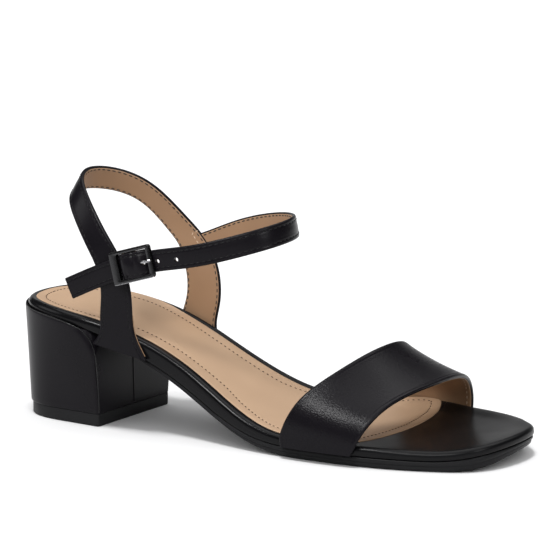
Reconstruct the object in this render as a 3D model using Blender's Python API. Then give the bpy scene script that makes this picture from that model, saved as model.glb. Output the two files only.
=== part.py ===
"""Right sandal on a block heel, built in Blender.

A wrapped footbed curves from a block heel down to a flat forefoot with a little toe spring. A thin
outsole lies under it, a wide vamp strap crosses the toes, and a quarter strap runs from a post on the
outer side, round the back of the ankle, to a post on the inner side. The ankle strap is sewn to the
inner post and fastens in a buckle on the outer one. Lengths are in millimetres until the meshes are
made. In the shoe's own frame x runs from the heel to the toe, the outer side is -y and the floor is z 0.
"""

import math

import bmesh
import bpy
import numpy as np

MM = 0.001
GAP = 0.3

# Footbed outline seen from above, with the outer and inner side at each length from the heel
HEEL_BACK = (0.0, 0.0)
TOE_TIP = (236.0, 6.1)
FOOTBED_WIDTHS = (
    # length, outer side, inner side
    (7.1, -19.0, 20.9),
    (29.5, -29.6, 27.1),
    (61.4, -29.9, 26.1),
    (94.4, -31.0, 24.1),
    (127.4, -38.6, 31.0),
    (158.1, -42.4, 39.7),
    (186.4, -41.4, 43.5),
    (212.4, -35.1, 37.1),
    (228.9, -23.7, 20.1),
)

# Height of the footbed's rim along the shoe, level from the ball to the toe joint
RIM_PROFILE = (
    # length, height, slope
    (0.0, 52.0, -0.1),
    (30.0, 48.7, -0.12),
    (54.0, 44.4, -0.25),
    (78.0, 35.9, -0.46),
    (103.0, 22.7, -0.55),
    (128.0, 11.5, -0.27),
    (150.0, 8.9, 0.0),
    (204.0, 8.9, 0.0),
    (220.0, 10.1, 0.16),
    (236.0, 13.3, 0.22),
)

# Thickness of the sole's two layers along the shoe
LAYERS = (
    # length, footbed, outsole
    (0.0, 3.2, 2.0),
    (40.0, 3.4, 2.0),
    (75.0, 5.9, 2.0),
    (110.0, 5.6, 2.4),
    (145.0, 4.2, 4.4),
    (208.0, 4.2, 4.4),
    (214.0, 4.2, 4.7),
    (222.0, 4.2, 5.4),
    (229.0, 4.2, 4.9),
    (236.0, 4.2, 2.8),
)
FOOTBED_SHOULDER = 2.0
FOOTBED_LOWER_CHAMFER = 0.7
OUTSOLE_EDGE = (
    # share of the outsole's thickness, inset from the footbed's outline
    (0.0, 0.4),
    (0.42, 0.4),
    (0.54, 1.1),
    (1.0, 1.5),
)
OUTSOLE_START = 52.4
SOLE_STATIONS = 40

# Sock on the footbed, ending in a rounded edge behind the toes
SOCK_THICKNESS = 1.0
SOCK_INSET = 3.3
SOCK_FRONT = 185.3
SOCK_ROUND_FROM = 165.0
SOCK_ROUND_POWER = 3.0
SOCK_OUTER_ROOT = 2.5
SOCK_INNER_ROOT = 5.0
SOCK_STATIONS = 32

# Block heel, with its foot turned a little from the shoe's line
HEEL_TURN = math.radians(-8.1)
HEEL_CENTRE = (27.0, 0.0)
HEEL_FOOT_BACK = 2.6
HEEL_FOOT_BREAST = 50.8
HEEL_FOOT_HALF_WIDTH = 26.1
TOP_LIFT_BACK = 3.5
HEEL_BACK_ROUND = 26.0
HEEL_BACK_POWER = 2.6
HEEL_TOP_BREAST = 50.1
HEEL_TOP_PROUD = 1.5
HEEL_TOP_ROUND = 1.3
HEEL_CORNER_FOOT = 1.4
HEEL_CORNER_TOP = 12.0
HEEL_CORNER_FROM = 0.62
TOP_LIFT_HEIGHT = 5.5
HEEL_SIDE_POINTS = 14
HEEL_CORNER_POINTS = 5
HEEL_LEVELS = (0.0, 0.3, 0.62, 0.74, 0.85, 0.94)

# Vamp strap: an arch over the toes between a back edge and a front edge
VAMP_THICKNESS = 1.8
VAMP_POWER = 2.3
VAMP_FOOT = 5.0
VAMP_CROWN_BACK = 34.2
VAMP_CROWN_FRONT = 20.4
VAMP_DIP = 1.9
VAMP_EDGES = (
    # angle round the arch from the outer side, back edge, front edge
    (0.0, 141.2, 177.0),
    (30.0, 151.2, 183.2),
    (60.0, 164.6, 189.8),
    (90.0, 171.2, 196.2),
    (120.0, 170.0, 196.8),
    (150.0, 163.0, 194.4),
    (180.0, 158.0, 193.2),
)
VAMP_FOOT_FORWARD = (
    # at the back edge, at the front edge
    (0.5, -2.2),
    (-0.5, -0.6),
)
VAMP_ARCH_STEPS = 36
VAMP_WIDTH_STEPS = 6

# Quarter strap sections, from the outer post round the back to the inner post
STRAP_THICKNESS = 1.8
QUARTER_SECTIONS = (
    # middle x, y, z, width, rise of the section line from its lower edge, its heading
    (60.8, -31.4, 35.0, 23.0, -12.0, 2.0),
    (58.3, -31.4, 42.5, 18.0, -5.0, 2.0),
    (57.6, -31.3, 50.5, 15.8, -1.0, 1.0),
    (57.5, -31.2, 60.0, 14.8, 5.0, 1.0),
    (55.9, -31.1, 68.5, 13.2, 18.0, 6.0),
    (52.3, -30.6, 76.2, 11.8, 32.0, 12.0),
    (47.3, -29.8, 83.6, 11.2, 38.0, 12.0),
    (36.8, -23.8, 95.7, 11.0, 46.0, 9.0),
    (28.1, -12.7, 102.6, 11.2, 57.0, 5.0),
    (25.6, 1.0, 104.4, 11.3, 66.0, 0.0),
    (32.0, 14.6, 102.2, 11.0, 66.0, -5.0),
    (43.6, 23.2, 95.4, 11.1, 53.0, -9.0),
    (55.7, 27.3, 83.0, 11.6, 39.0, -2.0),
    (62.5, 28.2, 75.2, 12.6, 30.0, 4.0),
    (67.3, 27.9, 66.5, 15.4, 16.0, 2.0),
    (69.6, 27.5, 57.0, 17.0, 3.0, -2.0),
    (69.3, 27.2, 48.0, 17.5, -6.0, -4.0),
    (67.7, 27.0, 40.0, 18.5, -16.0, -5.0),
    (68.2, 26.9, 33.0, 23.0, -20.0, -5.0),
)
QUARTER_LENGTH_STEPS = 84
STRAP_WIDTH_STEPS = 2

# Ankle strap sections, from its lap on the inner post round the front to its cut tail
ANKLE_WIDTH = 9.6
ANKLE_THICKNESS = 1.6
ANKLE_SECTIONS = (
    # middle x, y, z, rise of the section line, its heading
    (62.5, 28.9, 71.6, 68.0, 180.0),
    (71.0, 29.2, 74.6, 68.0, 180.0),
    (86.5, 28.2, 81.0, 72.0, 180.0),
    (102.3, 24.8, 85.8, 74.0, 180.0),
    (116.6, 16.8, 88.8, 76.0, 180.0),
    (125.8, 5.5, 90.2, 78.0, 180.0),
    (128.6, -6.5, 90.3, 78.0, 180.0),
    (124.8, -19.5, 88.9, 76.0, 180.0),
    (112.6, -28.0, 85.2, 75.0, 180.0),
    (96.0, -32.0, 80.8, 76.0, 180.0),
    (80.0, -33.2, 77.8, 76.0, 180.0),
    (67.0, -33.2, 74.6, 75.0, 180.0),
    (53.5, -33.2, 69.8, 70.0, 180.0),
    (35.7, -33.3, 61.7, 66.0, 180.0),
)
ANKLE_LENGTH_STEPS = 112
BUCKLE_HUMP_HEIGHT = 2.9
BUCKLE_HUMP_HALF_LENGTH = 6.4
STRAP_HOLE_DIAMETER = 2.2
STRAP_HOLES = ((79.7, 77.7), (88.5, 79.2))

# Buckle: a flat frame with a middle bar under the strap and a prong over the front bar
BUCKLE_MIDDLE = (67.0, -35.2, 74.7)
BUCKLE_PITCH = math.radians(16.5)
BUCKLE_LENGTH = 20.6
BUCKLE_HEIGHT = 14.4
BUCKLE_THICKNESS = 1.8
BUCKLE_RAIL = 1.7
BUCKLE_BACK_BAR = 3.8
BUCKLE_FRONT_BAR = 2.1
BUCKLE_CORNER = 1.2
MIDDLE_BAR_WIDTH = 1.6
MIDDLE_BAR_DEPTH = 1.2
MIDDLE_BAR_DROP = 0.6
PRONG_WIDTH = 1.5
PRONG_DEPTH = 1.1
PRONG_SLOT_WIDTH = 2.3
PRONG_SLOT = (1.2, 6.2)


# Curves through tables


def natural_spline(knots, values):
    """A curve through the rows of a table, with no bend at its ends."""
    knots = np.asarray(knots, float)
    values = np.asarray(values, float).reshape(len(knots), -1)
    spans = np.diff(knots)
    slopes = np.diff(values, axis=0) / spans[:, None]
    system = np.eye(len(knots))
    target = np.zeros_like(values)
    for row in range(1, len(knots) - 1):
        before, after = spans[row - 1], spans[row]
        system[row, row - 1 : row + 2] = before, 2 * (before + after), after
        target[row] = 6 * (slopes[row] - slopes[row - 1])
    bends = np.linalg.solve(system, target)

    def curve(at):
        at = np.atleast_1d(np.asarray(at, float))
        low = np.clip(np.searchsorted(knots, at) - 1, 0, len(spans) - 1)
        span = spans[low][:, None]
        right = (at - knots[low])[:, None] / span
        left = 1 - right
        straight = left * values[low] + right * values[low + 1]
        bend = (left**3 - left) * bends[low] + (right**3 - right) * bends[low + 1]
        return straight + bend * span**2 / 6

    return curve


def chord_knots(points):
    """Knots for a spline through points, spaced by the root of the distance between them."""
    steps = np.linalg.norm(np.diff(np.asarray(points, float), axis=0), axis=1)
    return np.concatenate([[0.0], np.cumsum(np.sqrt(steps))])


def profile_height(x):
    """Height of the rim at each length: cubic pieces with the table's heights and slopes."""
    rows = np.array(RIM_PROFILE)
    x = np.asarray(x, float)
    low = np.clip(np.searchsorted(rows[:, 0], x) - 1, 0, len(rows) - 2)
    start, end = rows[low], rows[low + 1]
    span = end[..., 0] - start[..., 0]
    t = (x - start[..., 0]) / span
    rise = (2 * t**3 - 3 * t**2 + 1) * start[..., 1] + (3 * t**2 - 2 * t**3) * end[..., 1]
    lean = (t**3 - 2 * t**2 + t) * start[..., 2] + (t**3 - t**2) * end[..., 2]
    return rise + span * lean


def profile_slope(x):
    step = 0.05
    return (profile_height(x + step) - profile_height(x - step)) / (2 * step)


def layer_thickness(x, column):
    rows = np.array(LAYERS)
    return np.interp(x, rows[:, 0], rows[:, column])


def footbed_depth(x):
    return layer_thickness(x, 1)


def on_sole(plan, depth):
    """Points in plan brought to a depth below the rim, square to the rim where it falls."""
    slope = np.minimum(profile_slope(plan[:, 0]), 0.0)
    length = np.sqrt(1 + slope**2)
    x = plan[:, 0] + depth * slope / length
    z = profile_height(plan[:, 0]) - depth / length
    return np.column_stack([x, plan[:, 1], z])


def footbed_sides():
    """The outer and the inner side of the footbed's outline, each a dense line from heel to toe."""
    outer = [(x, y) for x, y, _ in FOOTBED_WIDTHS]
    inner = [(x, y) for x, _, y in reversed(FOOTBED_WIDTHS)]
    loop = [HEEL_BACK] + outer + [TOE_TIP] + inner
    wrap = 4
    points = loop[-wrap:] + loop + loop[: wrap + 1]
    knots = chord_knots(points)
    dense = natural_spline(knots, points)(np.linspace(knots[wrap], knots[wrap + len(loop)], 2400))
    dense = np.roll(dense[:-1], -int(dense[:-1, 0].argmin()), axis=0)
    tip = int(dense[:, 0].argmax())
    outer_side = dense[: tip + 1]
    inner_side = np.vstack([dense[tip:], dense[:1]])[::-1]
    return outer_side, inner_side


OUTER_SIDE, INNER_SIDE = footbed_sides()


def side_y(side, x):
    return np.interp(x, side[:, 0], side[:, 1])


def footbed_ring(inset):
    """Closed ring in plan, inset from the footbed's outline: heel, outer side, toe, inner side."""
    low, high = OUTER_SIDE[0, 0], OUTER_SIDE[-1, 0]
    turn = np.linspace(0, math.pi, SOLE_STATIONS + 1)[1:-1]
    x = low + (high - low) * (1 - np.cos(turn)) / 2
    outer = np.column_stack([x, side_y(OUTER_SIDE, x)])
    inner = np.column_stack([x, side_y(INNER_SIDE, x)])
    ring = np.vstack([OUTER_SIDE[:1], outer, OUTER_SIDE[-1:], inner[::-1]])
    return inset_ring(ring, inset)


def inset_ring(ring, inset):
    along = np.roll(ring, -1, axis=0) - np.roll(ring, 1, axis=0)
    along /= np.linalg.norm(along, axis=1)[:, None]
    inward = np.column_stack([-along[:, 1], along[:, 0]])
    return ring + inward * inset


def turned(points):
    """Points of the heel's own plan, turned about the heel's centre into the shoe's plan."""
    offset = np.asarray(points, float) - HEEL_CENTRE
    cos, sin = math.cos(HEEL_TURN), math.sin(HEEL_TURN)
    return HEEL_CENTRE + offset @ np.array([[cos, sin], [-sin, cos]])


def breast_lengths(own_x):
    """Length from the heel at which the heel's breast line meets the outer and the inner side."""
    cut = []
    for side in (OUTER_SIDE, INNER_SIDE):
        offset = side - HEEL_CENTRE
        along = HEEL_CENTRE[0] + offset @ [math.cos(HEEL_TURN), math.sin(HEEL_TURN)]
        cut.append(float(side[int((along > own_x).argmax()), 0]))
    return cut


# Meshes


def make_object(name, points, faces, material):
    """One named object from millimetre points, its faces turned outwards and shaded smooth."""
    mesh = bpy.data.meshes.new(name)
    mesh.from_pydata([tuple(point) for point in np.asarray(points) * MM], [], faces)
    shape = bmesh.new()
    shape.from_mesh(mesh)
    bmesh.ops.recalc_face_normals(shape, faces=shape.faces)
    shape.to_mesh(mesh)
    shape.free()
    mesh.shade_smooth()
    mesh.set_sharp_from_angle(angle=math.radians(35))
    mesh.materials.append(material)
    made = bpy.data.objects.new(name, mesh)
    bpy.context.scene.collection.objects.link(made)
    return made


def make_lofted(name, rings, material, open_back=False):
    """A closed solid through rings of points, capped by strips from the outer to the inner side."""
    count = len(rings[0])
    faces = []
    for level in range(len(rings) - 1):
        for k in range(count):
            after = (k + 1) % count
            low, high = level * count, (level + 1) * count
            faces.append((low + k, low + after, high + after, high + k))
    last = count - 1 if open_back else count
    for first in (0, (len(rings) - 1) * count):
        for k in range(count // 2):
            strip = (k, k + 1, (last - k - 1) % count, (last - k) % count)
            faces.append(tuple(dict.fromkeys(first + corner for corner in strip)))
    return make_object(name, np.vstack(rings), faces, material)


def make_sheet(name, rows, thickness, material):
    """A strap: a grid of points on its middle surface, thickened to a closed solid by Solidify."""
    length, width = rows.shape[:2]
    faces = []
    for i in range(length - 1):
        for j in range(width - 1):
            corner = i * width + j
            faces.append((corner, corner + 1, corner + width + 1, corner + width))
    strap = make_object(name, rows.reshape(-1, 3), faces, material)
    wall = strap.modifiers.new("wall", "SOLIDIFY")
    wall.thickness = thickness * MM
    wall.offset = 0.0
    wall.use_even_offset = True
    return strap


def make_material(name, colour, roughness, metallic=0.0):
    material = bpy.data.materials.new(name)
    material.use_nodes = True
    shader = material.node_tree.nodes["Principled BSDF"]
    shader.inputs["Base Color"].default_value = (*colour, 1.0)
    shader.inputs["Roughness"].default_value = roughness
    shader.inputs["Metallic"].default_value = metallic
    return material


# Sole


def make_footbed(leather):
    """Insole board wrapped in black leather, with a round shoulder and a small groove below its wall."""
    rings = []
    for angle in (0, 35, 65, 90):
        turn = math.radians(angle)
        inset = FOOTBED_SHOULDER * (1 - math.sin(turn))
        ring = footbed_ring(inset)
        rings.append(on_sole(ring, FOOTBED_SHOULDER * (1 - math.cos(turn)) + 0 * ring[:, 0]))
    wall = footbed_ring(0.0)
    rings.append(on_sole(wall, footbed_depth(wall[:, 0]) - FOOTBED_LOWER_CHAMFER))
    foot = footbed_ring(FOOTBED_LOWER_CHAMFER)
    rings.append(on_sole(foot, footbed_depth(foot[:, 0])))
    return make_lofted("footbed", rings, leather)


def outsole_ring(inset):
    """Ring in plan from the heel's breast round the toe and back, open along the breast."""
    starts = breast_lengths(OUTSOLE_START)
    toe = OUTER_SIDE[-1, 0]
    share = np.sin(np.linspace(0, math.pi / 2, SOLE_STATIONS + 1))[:-1]
    share = 0.75 * share + 0.25 * np.linspace(0, 1, SOLE_STATIONS + 1)[:-1]
    outer_x = starts[0] + (toe - starts[0]) * share
    inner_x = starts[1] + (toe - starts[1]) * share
    outer = np.column_stack([outer_x, side_y(OUTER_SIDE, outer_x)])
    inner = np.column_stack([inner_x, side_y(INNER_SIDE, inner_x)])
    ring = np.vstack([outer, OUTER_SIDE[-1:], inner[::-1]])
    inner_ring = inset_ring(ring, inset)
    inner_ring[0] = outer[0] + (0.0, inset)
    inner_ring[-1] = inner[0] - (0.0, inset)
    return inner_ring


def make_outsole(rubber):
    """Thin sole from the heel's breast to the toe, with a bead at its top and an undercut below."""
    rings = []
    for share, inset in OUTSOLE_EDGE:
        ring = outsole_ring(inset)
        depth = footbed_depth(ring[:, 0]) + GAP + share * layer_thickness(ring[:, 0], 2)
        rings.append(on_sole(ring, depth))
    return make_lofted("outsole", rings, rubber, open_back=True)


def make_sock(lining):
    """Thin lining sheet on the footbed, inset from its rim and rounded off behind the toes."""
    low = OUTER_SIDE[0, 0] + SOCK_INSET
    turn = np.linspace(0, math.pi, SOCK_STATIONS + 1)[1:-1]
    x = low + (SOCK_FRONT - low) * (1 - np.cos(turn)) / 2
    rim = footbed_ring(SOCK_INSET)
    half = SOLE_STATIONS
    outer = np.interp(x, rim[: half + 1, 0], rim[: half + 1, 1])
    inner = np.interp(x, np.append(rim[half:, 0], low)[::-1], np.append(rim[half:, 1], rim[0, 1])[::-1])
    middle = (outer + inner) / 2
    into = np.clip((x - SOCK_ROUND_FROM) / (SOCK_FRONT - SOCK_ROUND_FROM), 0, 1)
    left = 1 - into**SOCK_ROUND_POWER
    outer = middle + (outer - middle) * left ** (1 / SOCK_OUTER_ROOT)
    inner = middle + (inner - middle) * left ** (1 / SOCK_INNER_ROOT)
    tip = [(SOCK_FRONT, middle[-1])]
    ring = np.vstack([rim[:1], np.column_stack([x, outer]), tip, np.column_stack([x, inner])[::-1]])
    rings = [on_sole(ring, -depth + 0 * ring[:, 0]) for depth in (GAP + SOCK_THICKNESS, GAP)]
    return make_lofted("sock_lining", rings, lining)


# Heel


def heel_foot_side(sign, count, back):
    """Outer or inner side of the heel's foot in plan, from the middle of its back to its breast corner."""
    round_end = back + HEEL_BACK_ROUND
    angle = np.linspace(0, math.pi / 2, count)
    x = round_end - HEEL_BACK_ROUND * np.cos(angle) ** (2 / HEEL_BACK_POWER)
    y = HEEL_FOOT_HALF_WIDTH * np.sin(angle) ** (2 / HEEL_BACK_POWER)
    line = np.column_stack([np.append(x, HEEL_FOOT_BREAST), sign * np.append(y, HEEL_FOOT_HALF_WIDTH)])
    return turned(line)


def heel_top_side(side, sign):
    """Side of the heel's top in plan: the footbed's outline, a little outside it, to the breast line."""
    along = np.gradient(side, axis=0)
    along /= np.linalg.norm(along, axis=1)[:, None]
    outward = sign * np.column_stack([-along[:, 1], along[:, 0]])
    line = side + outward * HEEL_TOP_PROUD
    offset = line - HEEL_CENTRE
    own_x = HEEL_CENTRE[0] + offset @ [math.cos(HEEL_TURN), math.sin(HEEL_TURN)]
    line = line[: int((own_x > HEEL_TOP_BREAST).argmax())]
    line[0, 1] = 0.0
    return line


def evenly(line, count):
    """Points spread evenly along a line."""
    length = np.concatenate([[0.0], np.cumsum(np.linalg.norm(np.diff(line, axis=0), axis=1))])
    at = np.linspace(0, length[-1], count)
    return np.column_stack([np.interp(at, length, line[:, axis]) for axis in (0, 1)])


def half_heel(level, side, sign, inset, back):
    """One side of the heel in plan at a level from its foot to its top, ending at the breast's middle."""
    count = 160
    foot = evenly(heel_foot_side(sign, count, back), count)
    top = evenly(heel_top_side(side, sign), count)
    line = foot + (top - foot) * level
    corner = line[-1]
    middle = (turned([(HEEL_FOOT_BREAST, 0.0)]) * (1 - level) + turned([(HEEL_TOP_BREAST, 0.0)]) * level)[0]
    grown = max(0.0, (level - HEEL_CORNER_FROM) / (1 - HEEL_CORNER_FROM))
    reach = HEEL_CORNER_FOOT + (HEEL_CORNER_TOP - HEEL_CORNER_FOOT) * grown**2
    length = np.concatenate([[0.0], np.cumsum(np.linalg.norm(np.diff(line, axis=0), axis=1))])
    share = np.linspace(0, 1, HEEL_SIDE_POINTS)
    at = (length[-1] - reach) * share
    points = np.column_stack([np.interp(at, length, line[:, axis]) for axis in (0, 1)])
    across = (middle - corner) / np.linalg.norm(middle - corner)
    t = np.linspace(0, 1, HEEL_CORNER_POINTS)[1:, None]
    bend = (1 - t) ** 2 * points[-1] + 2 * t * (1 - t) * corner + t**2 * (corner + across * reach)
    half = np.vstack([points, bend, middle])
    if inset:
        centre = np.array(HEEL_CENTRE)
        half = half - (half - centre) / np.linalg.norm(half - centre, axis=1)[:, None] * inset
    return half


def heel_ring(level, inset=0.0, back=HEEL_FOOT_BACK):
    outer = half_heel(level, OUTER_SIDE, -1, inset, back)
    inner = half_heel(level, INNER_SIDE, 1, inset, back)
    return np.vstack([outer, inner[1:-1][::-1]])


def under_footbed(x):
    """Height of the heel's seat, just below the footbed."""
    return profile_height(x) - (footbed_depth(x) + GAP) * np.sqrt(1 + profile_slope(x) ** 2)


def make_heel(leather):
    """Leather-covered block that flares up to the footbed, its front corners rounding off at the top."""
    rings = []
    foot = TOP_LIFT_HEIGHT + GAP
    for level in HEEL_LEVELS:
        plan = heel_ring(level)
        height = foot + (under_footbed(plan[:, 0]) - foot) * level
        rings.append(np.column_stack([plan, height]))
    for drop, inset in ((HEEL_TOP_ROUND * 0.4, 0.2), (0.0, HEEL_TOP_ROUND)):
        plan = heel_ring(1.0, inset)
        rings.append(np.column_stack([plan, under_footbed(plan[:, 0]) - drop]))
    return make_lofted("heel_block", rings, leather)


def make_top_lift(rubber):
    """Flat tread piece under the heel."""
    plan = heel_ring(0.0, 0.2, TOP_LIFT_BACK)
    tread = heel_ring(0.0, 0.6, TOP_LIFT_BACK)
    rings = [
        np.column_stack([plan, np.full(len(plan), TOP_LIFT_HEIGHT)]),
        np.column_stack([plan, np.full(len(plan), 0.4)]),
        np.column_stack([tread, np.zeros(len(plan))]),
    ]
    return make_lofted("top_lift", rings, rubber)


# Straps


def vamp_row(share):
    """Points across the toes at a share of the strap's width from its back edge to its front edge."""
    rows = np.array(VAMP_EDGES)
    angle = np.linspace(0, 180, VAMP_ARCH_STEPS + 1)
    edges = natural_spline(rows[:, 0], rows[:, 1:])(angle)
    x = edges[:, 0] + (edges[:, 1] - edges[:, 0]) * share
    clear = GAP + VAMP_THICKNESS / 2
    outer = side_y(OUTER_SIDE, x[0]) - clear
    inner = side_y(INNER_SIDE, x[-1]) + clear
    crown = VAMP_CROWN_BACK + (VAMP_CROWN_FRONT - VAMP_CROWN_BACK) * share
    cos, sin = np.cos(np.radians(angle)), np.abs(np.sin(np.radians(angle)))
    across = -np.sign(cos) * np.abs(cos) ** (2 / VAMP_POWER)
    y = (outer + inner) / 2 + (inner - outer) / 2 * across
    spring = profile_height(x[[0, -1]])
    base = spring[0] + (spring[1] - spring[0]) * angle / 180
    z = base + crown * sin ** (2 / VAMP_POWER) - VAMP_DIP * 4 * share * (1 - share) * sin**2
    row = np.column_stack([x, y, z])
    feet = row[[0, -1]].copy()
    for foot, (at_back, at_front) in zip(feet, VAMP_FOOT_FORWARD):
        foot[0] += at_back + (at_front - at_back) * share
        foot[2] = VAMP_FOOT
    return np.vstack([feet[:1], row, feet[1:]])


def make_vamp(leather):
    """Wide strap over the toes, its feet outside the footbed's wall and down to the outsole."""
    rows = np.array([vamp_row(share) for share in np.linspace(0, 1, VAMP_WIDTH_STEPS + 1)])
    return make_sheet("vamp_strap", rows, VAMP_THICKNESS, leather)


def strap_rows(middles, widths, rises, headings, steps, across):
    """Grid of a strap's middle surface from its section lines, smoothed along its length."""
    knots = chord_knots(middles)
    table = np.column_stack([middles, widths, rises, headings])
    at = np.linspace(knots[0], knots[-1], steps + 1)
    section = natural_spline(knots, table)(at)
    rise, heading = np.radians(section[:, 4]), np.radians(section[:, 5])
    line = np.column_stack([np.cos(rise) * np.cos(heading), np.cos(rise) * np.sin(heading), np.sin(rise)])
    share = np.linspace(-0.5, 0.5, across + 1)
    reach = section[:, None, 3:4] * share[None, :, None]
    return section[:, None, :3] + line[:, None, :] * reach


def quarter_rows():
    rows = np.array(QUARTER_SECTIONS)
    return strap_rows(rows[:, :3], rows[:, 3], rows[:, 4], rows[:, 5], QUARTER_LENGTH_STEPS, STRAP_WIDTH_STEPS)


def ankle_rows():
    """The ankle strap's grid, lifted over the buckle's middle bar by a smooth hump."""
    rows = np.array(ANKLE_SECTIONS)
    widths = np.full(len(rows), ANKLE_WIDTH)
    grid = strap_rows(rows[:, :3], widths, rows[:, 3], rows[:, 4], ANKLE_LENGTH_STEPS, STRAP_WIDTH_STEPS)
    middle = np.array(BUCKLE_MIDDLE)
    along = np.array([math.cos(BUCKLE_PITCH), 0.0, math.sin(BUCKLE_PITCH)])
    distance = (grid - middle) @ along
    near = (np.abs(distance) < BUCKLE_HUMP_HALF_LENGTH) & (grid[..., 1] < 0)
    hump = 0.5 * (1 + np.cos(math.pi * distance / BUCKLE_HUMP_HALF_LENGTH)) * BUCKLE_HUMP_HEIGHT
    grid[..., 1] -= np.where(near, hump, 0.0)
    return grid


def make_cutter(name, points, faces, material):
    cutter = make_object(name, points, faces, material)
    cutter.hide_render = True
    cutter.display_type = "WIRE"
    return cutter


def hole_cutter(name, x, z, material):
    """A rod through the outer side of the ankle strap, for one punched hole."""
    sides = 10
    turn = np.arange(sides) * 2 * math.pi / sides
    radius = STRAP_HOLE_DIAMETER / 2
    ring = np.column_stack([x + radius * np.cos(turn), 0 * turn, z + radius * np.sin(turn)])
    points = np.vstack([ring + (0, -40.0, 0), ring + (0, -29.0, 0)])
    faces = [tuple(range(sides)), tuple(range(sides, 2 * sides))]
    faces += [(k, (k + 1) % sides, sides + (k + 1) % sides, sides + k) for k in range(sides)]
    return make_cutter(name, points, faces, material)


def join(target, other, operation):
    step = target.modifiers.new(operation.lower(), "BOOLEAN")
    step.operation = operation
    step.solver = "EXACT"
    step.object = other


def make_quarter(leather):
    """Posts, back strap and ankle strap as one piece, joined where the ankle strap is sewn on."""
    quarter = make_sheet("quarter_strap", quarter_rows(), STRAP_THICKNESS, leather)
    ankle = make_sheet("ankle_strap_shape", ankle_rows(), ANKLE_THICKNESS, leather)
    ankle.hide_render = True
    ankle.display_type = "WIRE"
    for number, (x, z) in enumerate(STRAP_HOLES, start=1):
        join(ankle, hole_cutter(f"strap_hole_{number}", x, z, leather), "DIFFERENCE")
    half_slot = PRONG_SLOT_WIDTH / 2
    slot = buckle_box(PRONG_SLOT, (-6.0, 4.0), (-half_slot, half_slot))
    join(ankle, make_cutter("prong_slot", *slot, leather), "DIFFERENCE")
    join(quarter, ankle, "UNION")
    return quarter


# Buckle


def in_buckle(points):
    """Points given along the strap, outwards and across it, placed on the buckle's pitch."""
    points = np.asarray(points, float)
    cos, sin = math.cos(BUCKLE_PITCH), math.sin(BUCKLE_PITCH)
    along, out, across = points[:, 0], points[:, 1], points[:, 2]
    local = np.column_stack([along * cos - across * sin, -out, along * sin + across * cos])
    return local + np.array(BUCKLE_MIDDLE)


def buckle_box(along, out, across):
    corners = [(a, o, c) for a in along for o in out for c in across]
    faces = [(0, 1, 3, 2), (4, 6, 7, 5), (0, 4, 5, 1), (2, 3, 7, 6), (0, 2, 6, 4), (1, 5, 7, 3)]
    return in_buckle(corners), faces


def rounded_rectangle(low, high, corner, steps):
    """Ring of an upright rectangle with round corners, anticlockwise."""
    points = []
    quarters = ((high[0], high[1], 0), (low[0], high[1], 90), (low[0], low[1], 180), (high[0], low[1], 270))
    for x, y, start in quarters:
        centre_x = x - math.copysign(corner, x)
        centre_y = y - math.copysign(corner, y)
        for step in range(steps + 1):
            turn = math.radians(start + 90 * step / steps)
            points.append((centre_x + corner * math.cos(turn), centre_y + corner * math.sin(turn)))
    return np.array(points)


def make_buckle(metal):
    """Flat rectangular frame, its back bar broad, with the middle bar that the strap passes over."""
    half_length, half_height = BUCKLE_LENGTH / 2, BUCKLE_HEIGHT / 2
    steps = 3
    outside = rounded_rectangle((-half_length, -half_height), (half_length, half_height), BUCKLE_CORNER, steps)
    low = (-half_length + BUCKLE_BACK_BAR, -half_height + BUCKLE_RAIL)
    high = (half_length - BUCKLE_FRONT_BAR, half_height - BUCKLE_RAIL)
    inside = rounded_rectangle(low, high, BUCKLE_CORNER / 3, steps)
    edge = 0.35
    shrink = 1 - edge / half_height
    layers = (
        (outside * shrink, BUCKLE_THICKNESS / 2),
        (outside, BUCKLE_THICKNESS / 2 - edge),
        (outside, -BUCKLE_THICKNESS / 2),
        (inside, -BUCKLE_THICKNESS / 2),
        (inside, BUCKLE_THICKNESS / 2),
    )
    rings = [in_buckle(np.column_stack([ring[:, 0], np.full(len(ring), out), ring[:, 1]])) for ring, out in layers]
    count = len(outside)
    faces = []
    for level in range(len(rings)):
        here, there = level * count, (level + 1) % len(rings) * count
        for k in range(count):
            after = (k + 1) % count
            faces.append((here + k, here + after, there + after, there + k))
    frame = make_object("buckle_frame", np.vstack(rings), faces, metal)
    low_out = -BUCKLE_THICKNESS / 2 - MIDDLE_BAR_DROP
    reach = half_height - BUCKLE_RAIL / 2
    bar = buckle_box(
        (-MIDDLE_BAR_WIDTH / 2, MIDDLE_BAR_WIDTH / 2),
        (low_out, low_out + MIDDLE_BAR_DEPTH),
        (-reach, reach),
    )
    join(frame, make_cutter("middle_bar", *bar, metal), "UNION")
    return frame


def make_prong(metal):
    """Prong from the middle bar, up through the strap's hole and down on the front bar."""
    line = (
        # along the strap, outwards
        (MIDDLE_BAR_WIDTH / 2 + 0.3, -1.0),
        (2.6, -0.3),
        (4.8, 1.1),
        (7.6, 1.75),
        (BUCKLE_LENGTH / 2 + 0.3, 1.75),
    )
    half_width, half_depth = PRONG_WIDTH / 2, PRONG_DEPTH / 2
    points = []
    for along, out in line:
        for across_sign, out_sign in ((-1, -1), (1, -1), (1, 1), (-1, 1)):
            points.append((along, out + out_sign * half_depth, across_sign * half_width))
    faces = [(0, 1, 2, 3), tuple(range(len(points) - 4, len(points)))]
    for step in range(len(line) - 1):
        for k in range(4):
            after = (k + 1) % 4
            faces.append((step * 4 + k, step * 4 + after, step * 4 + 4 + after, step * 4 + 4 + k))
    return make_object("buckle_prong", in_buckle(points), faces, metal)


# Assembly


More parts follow.
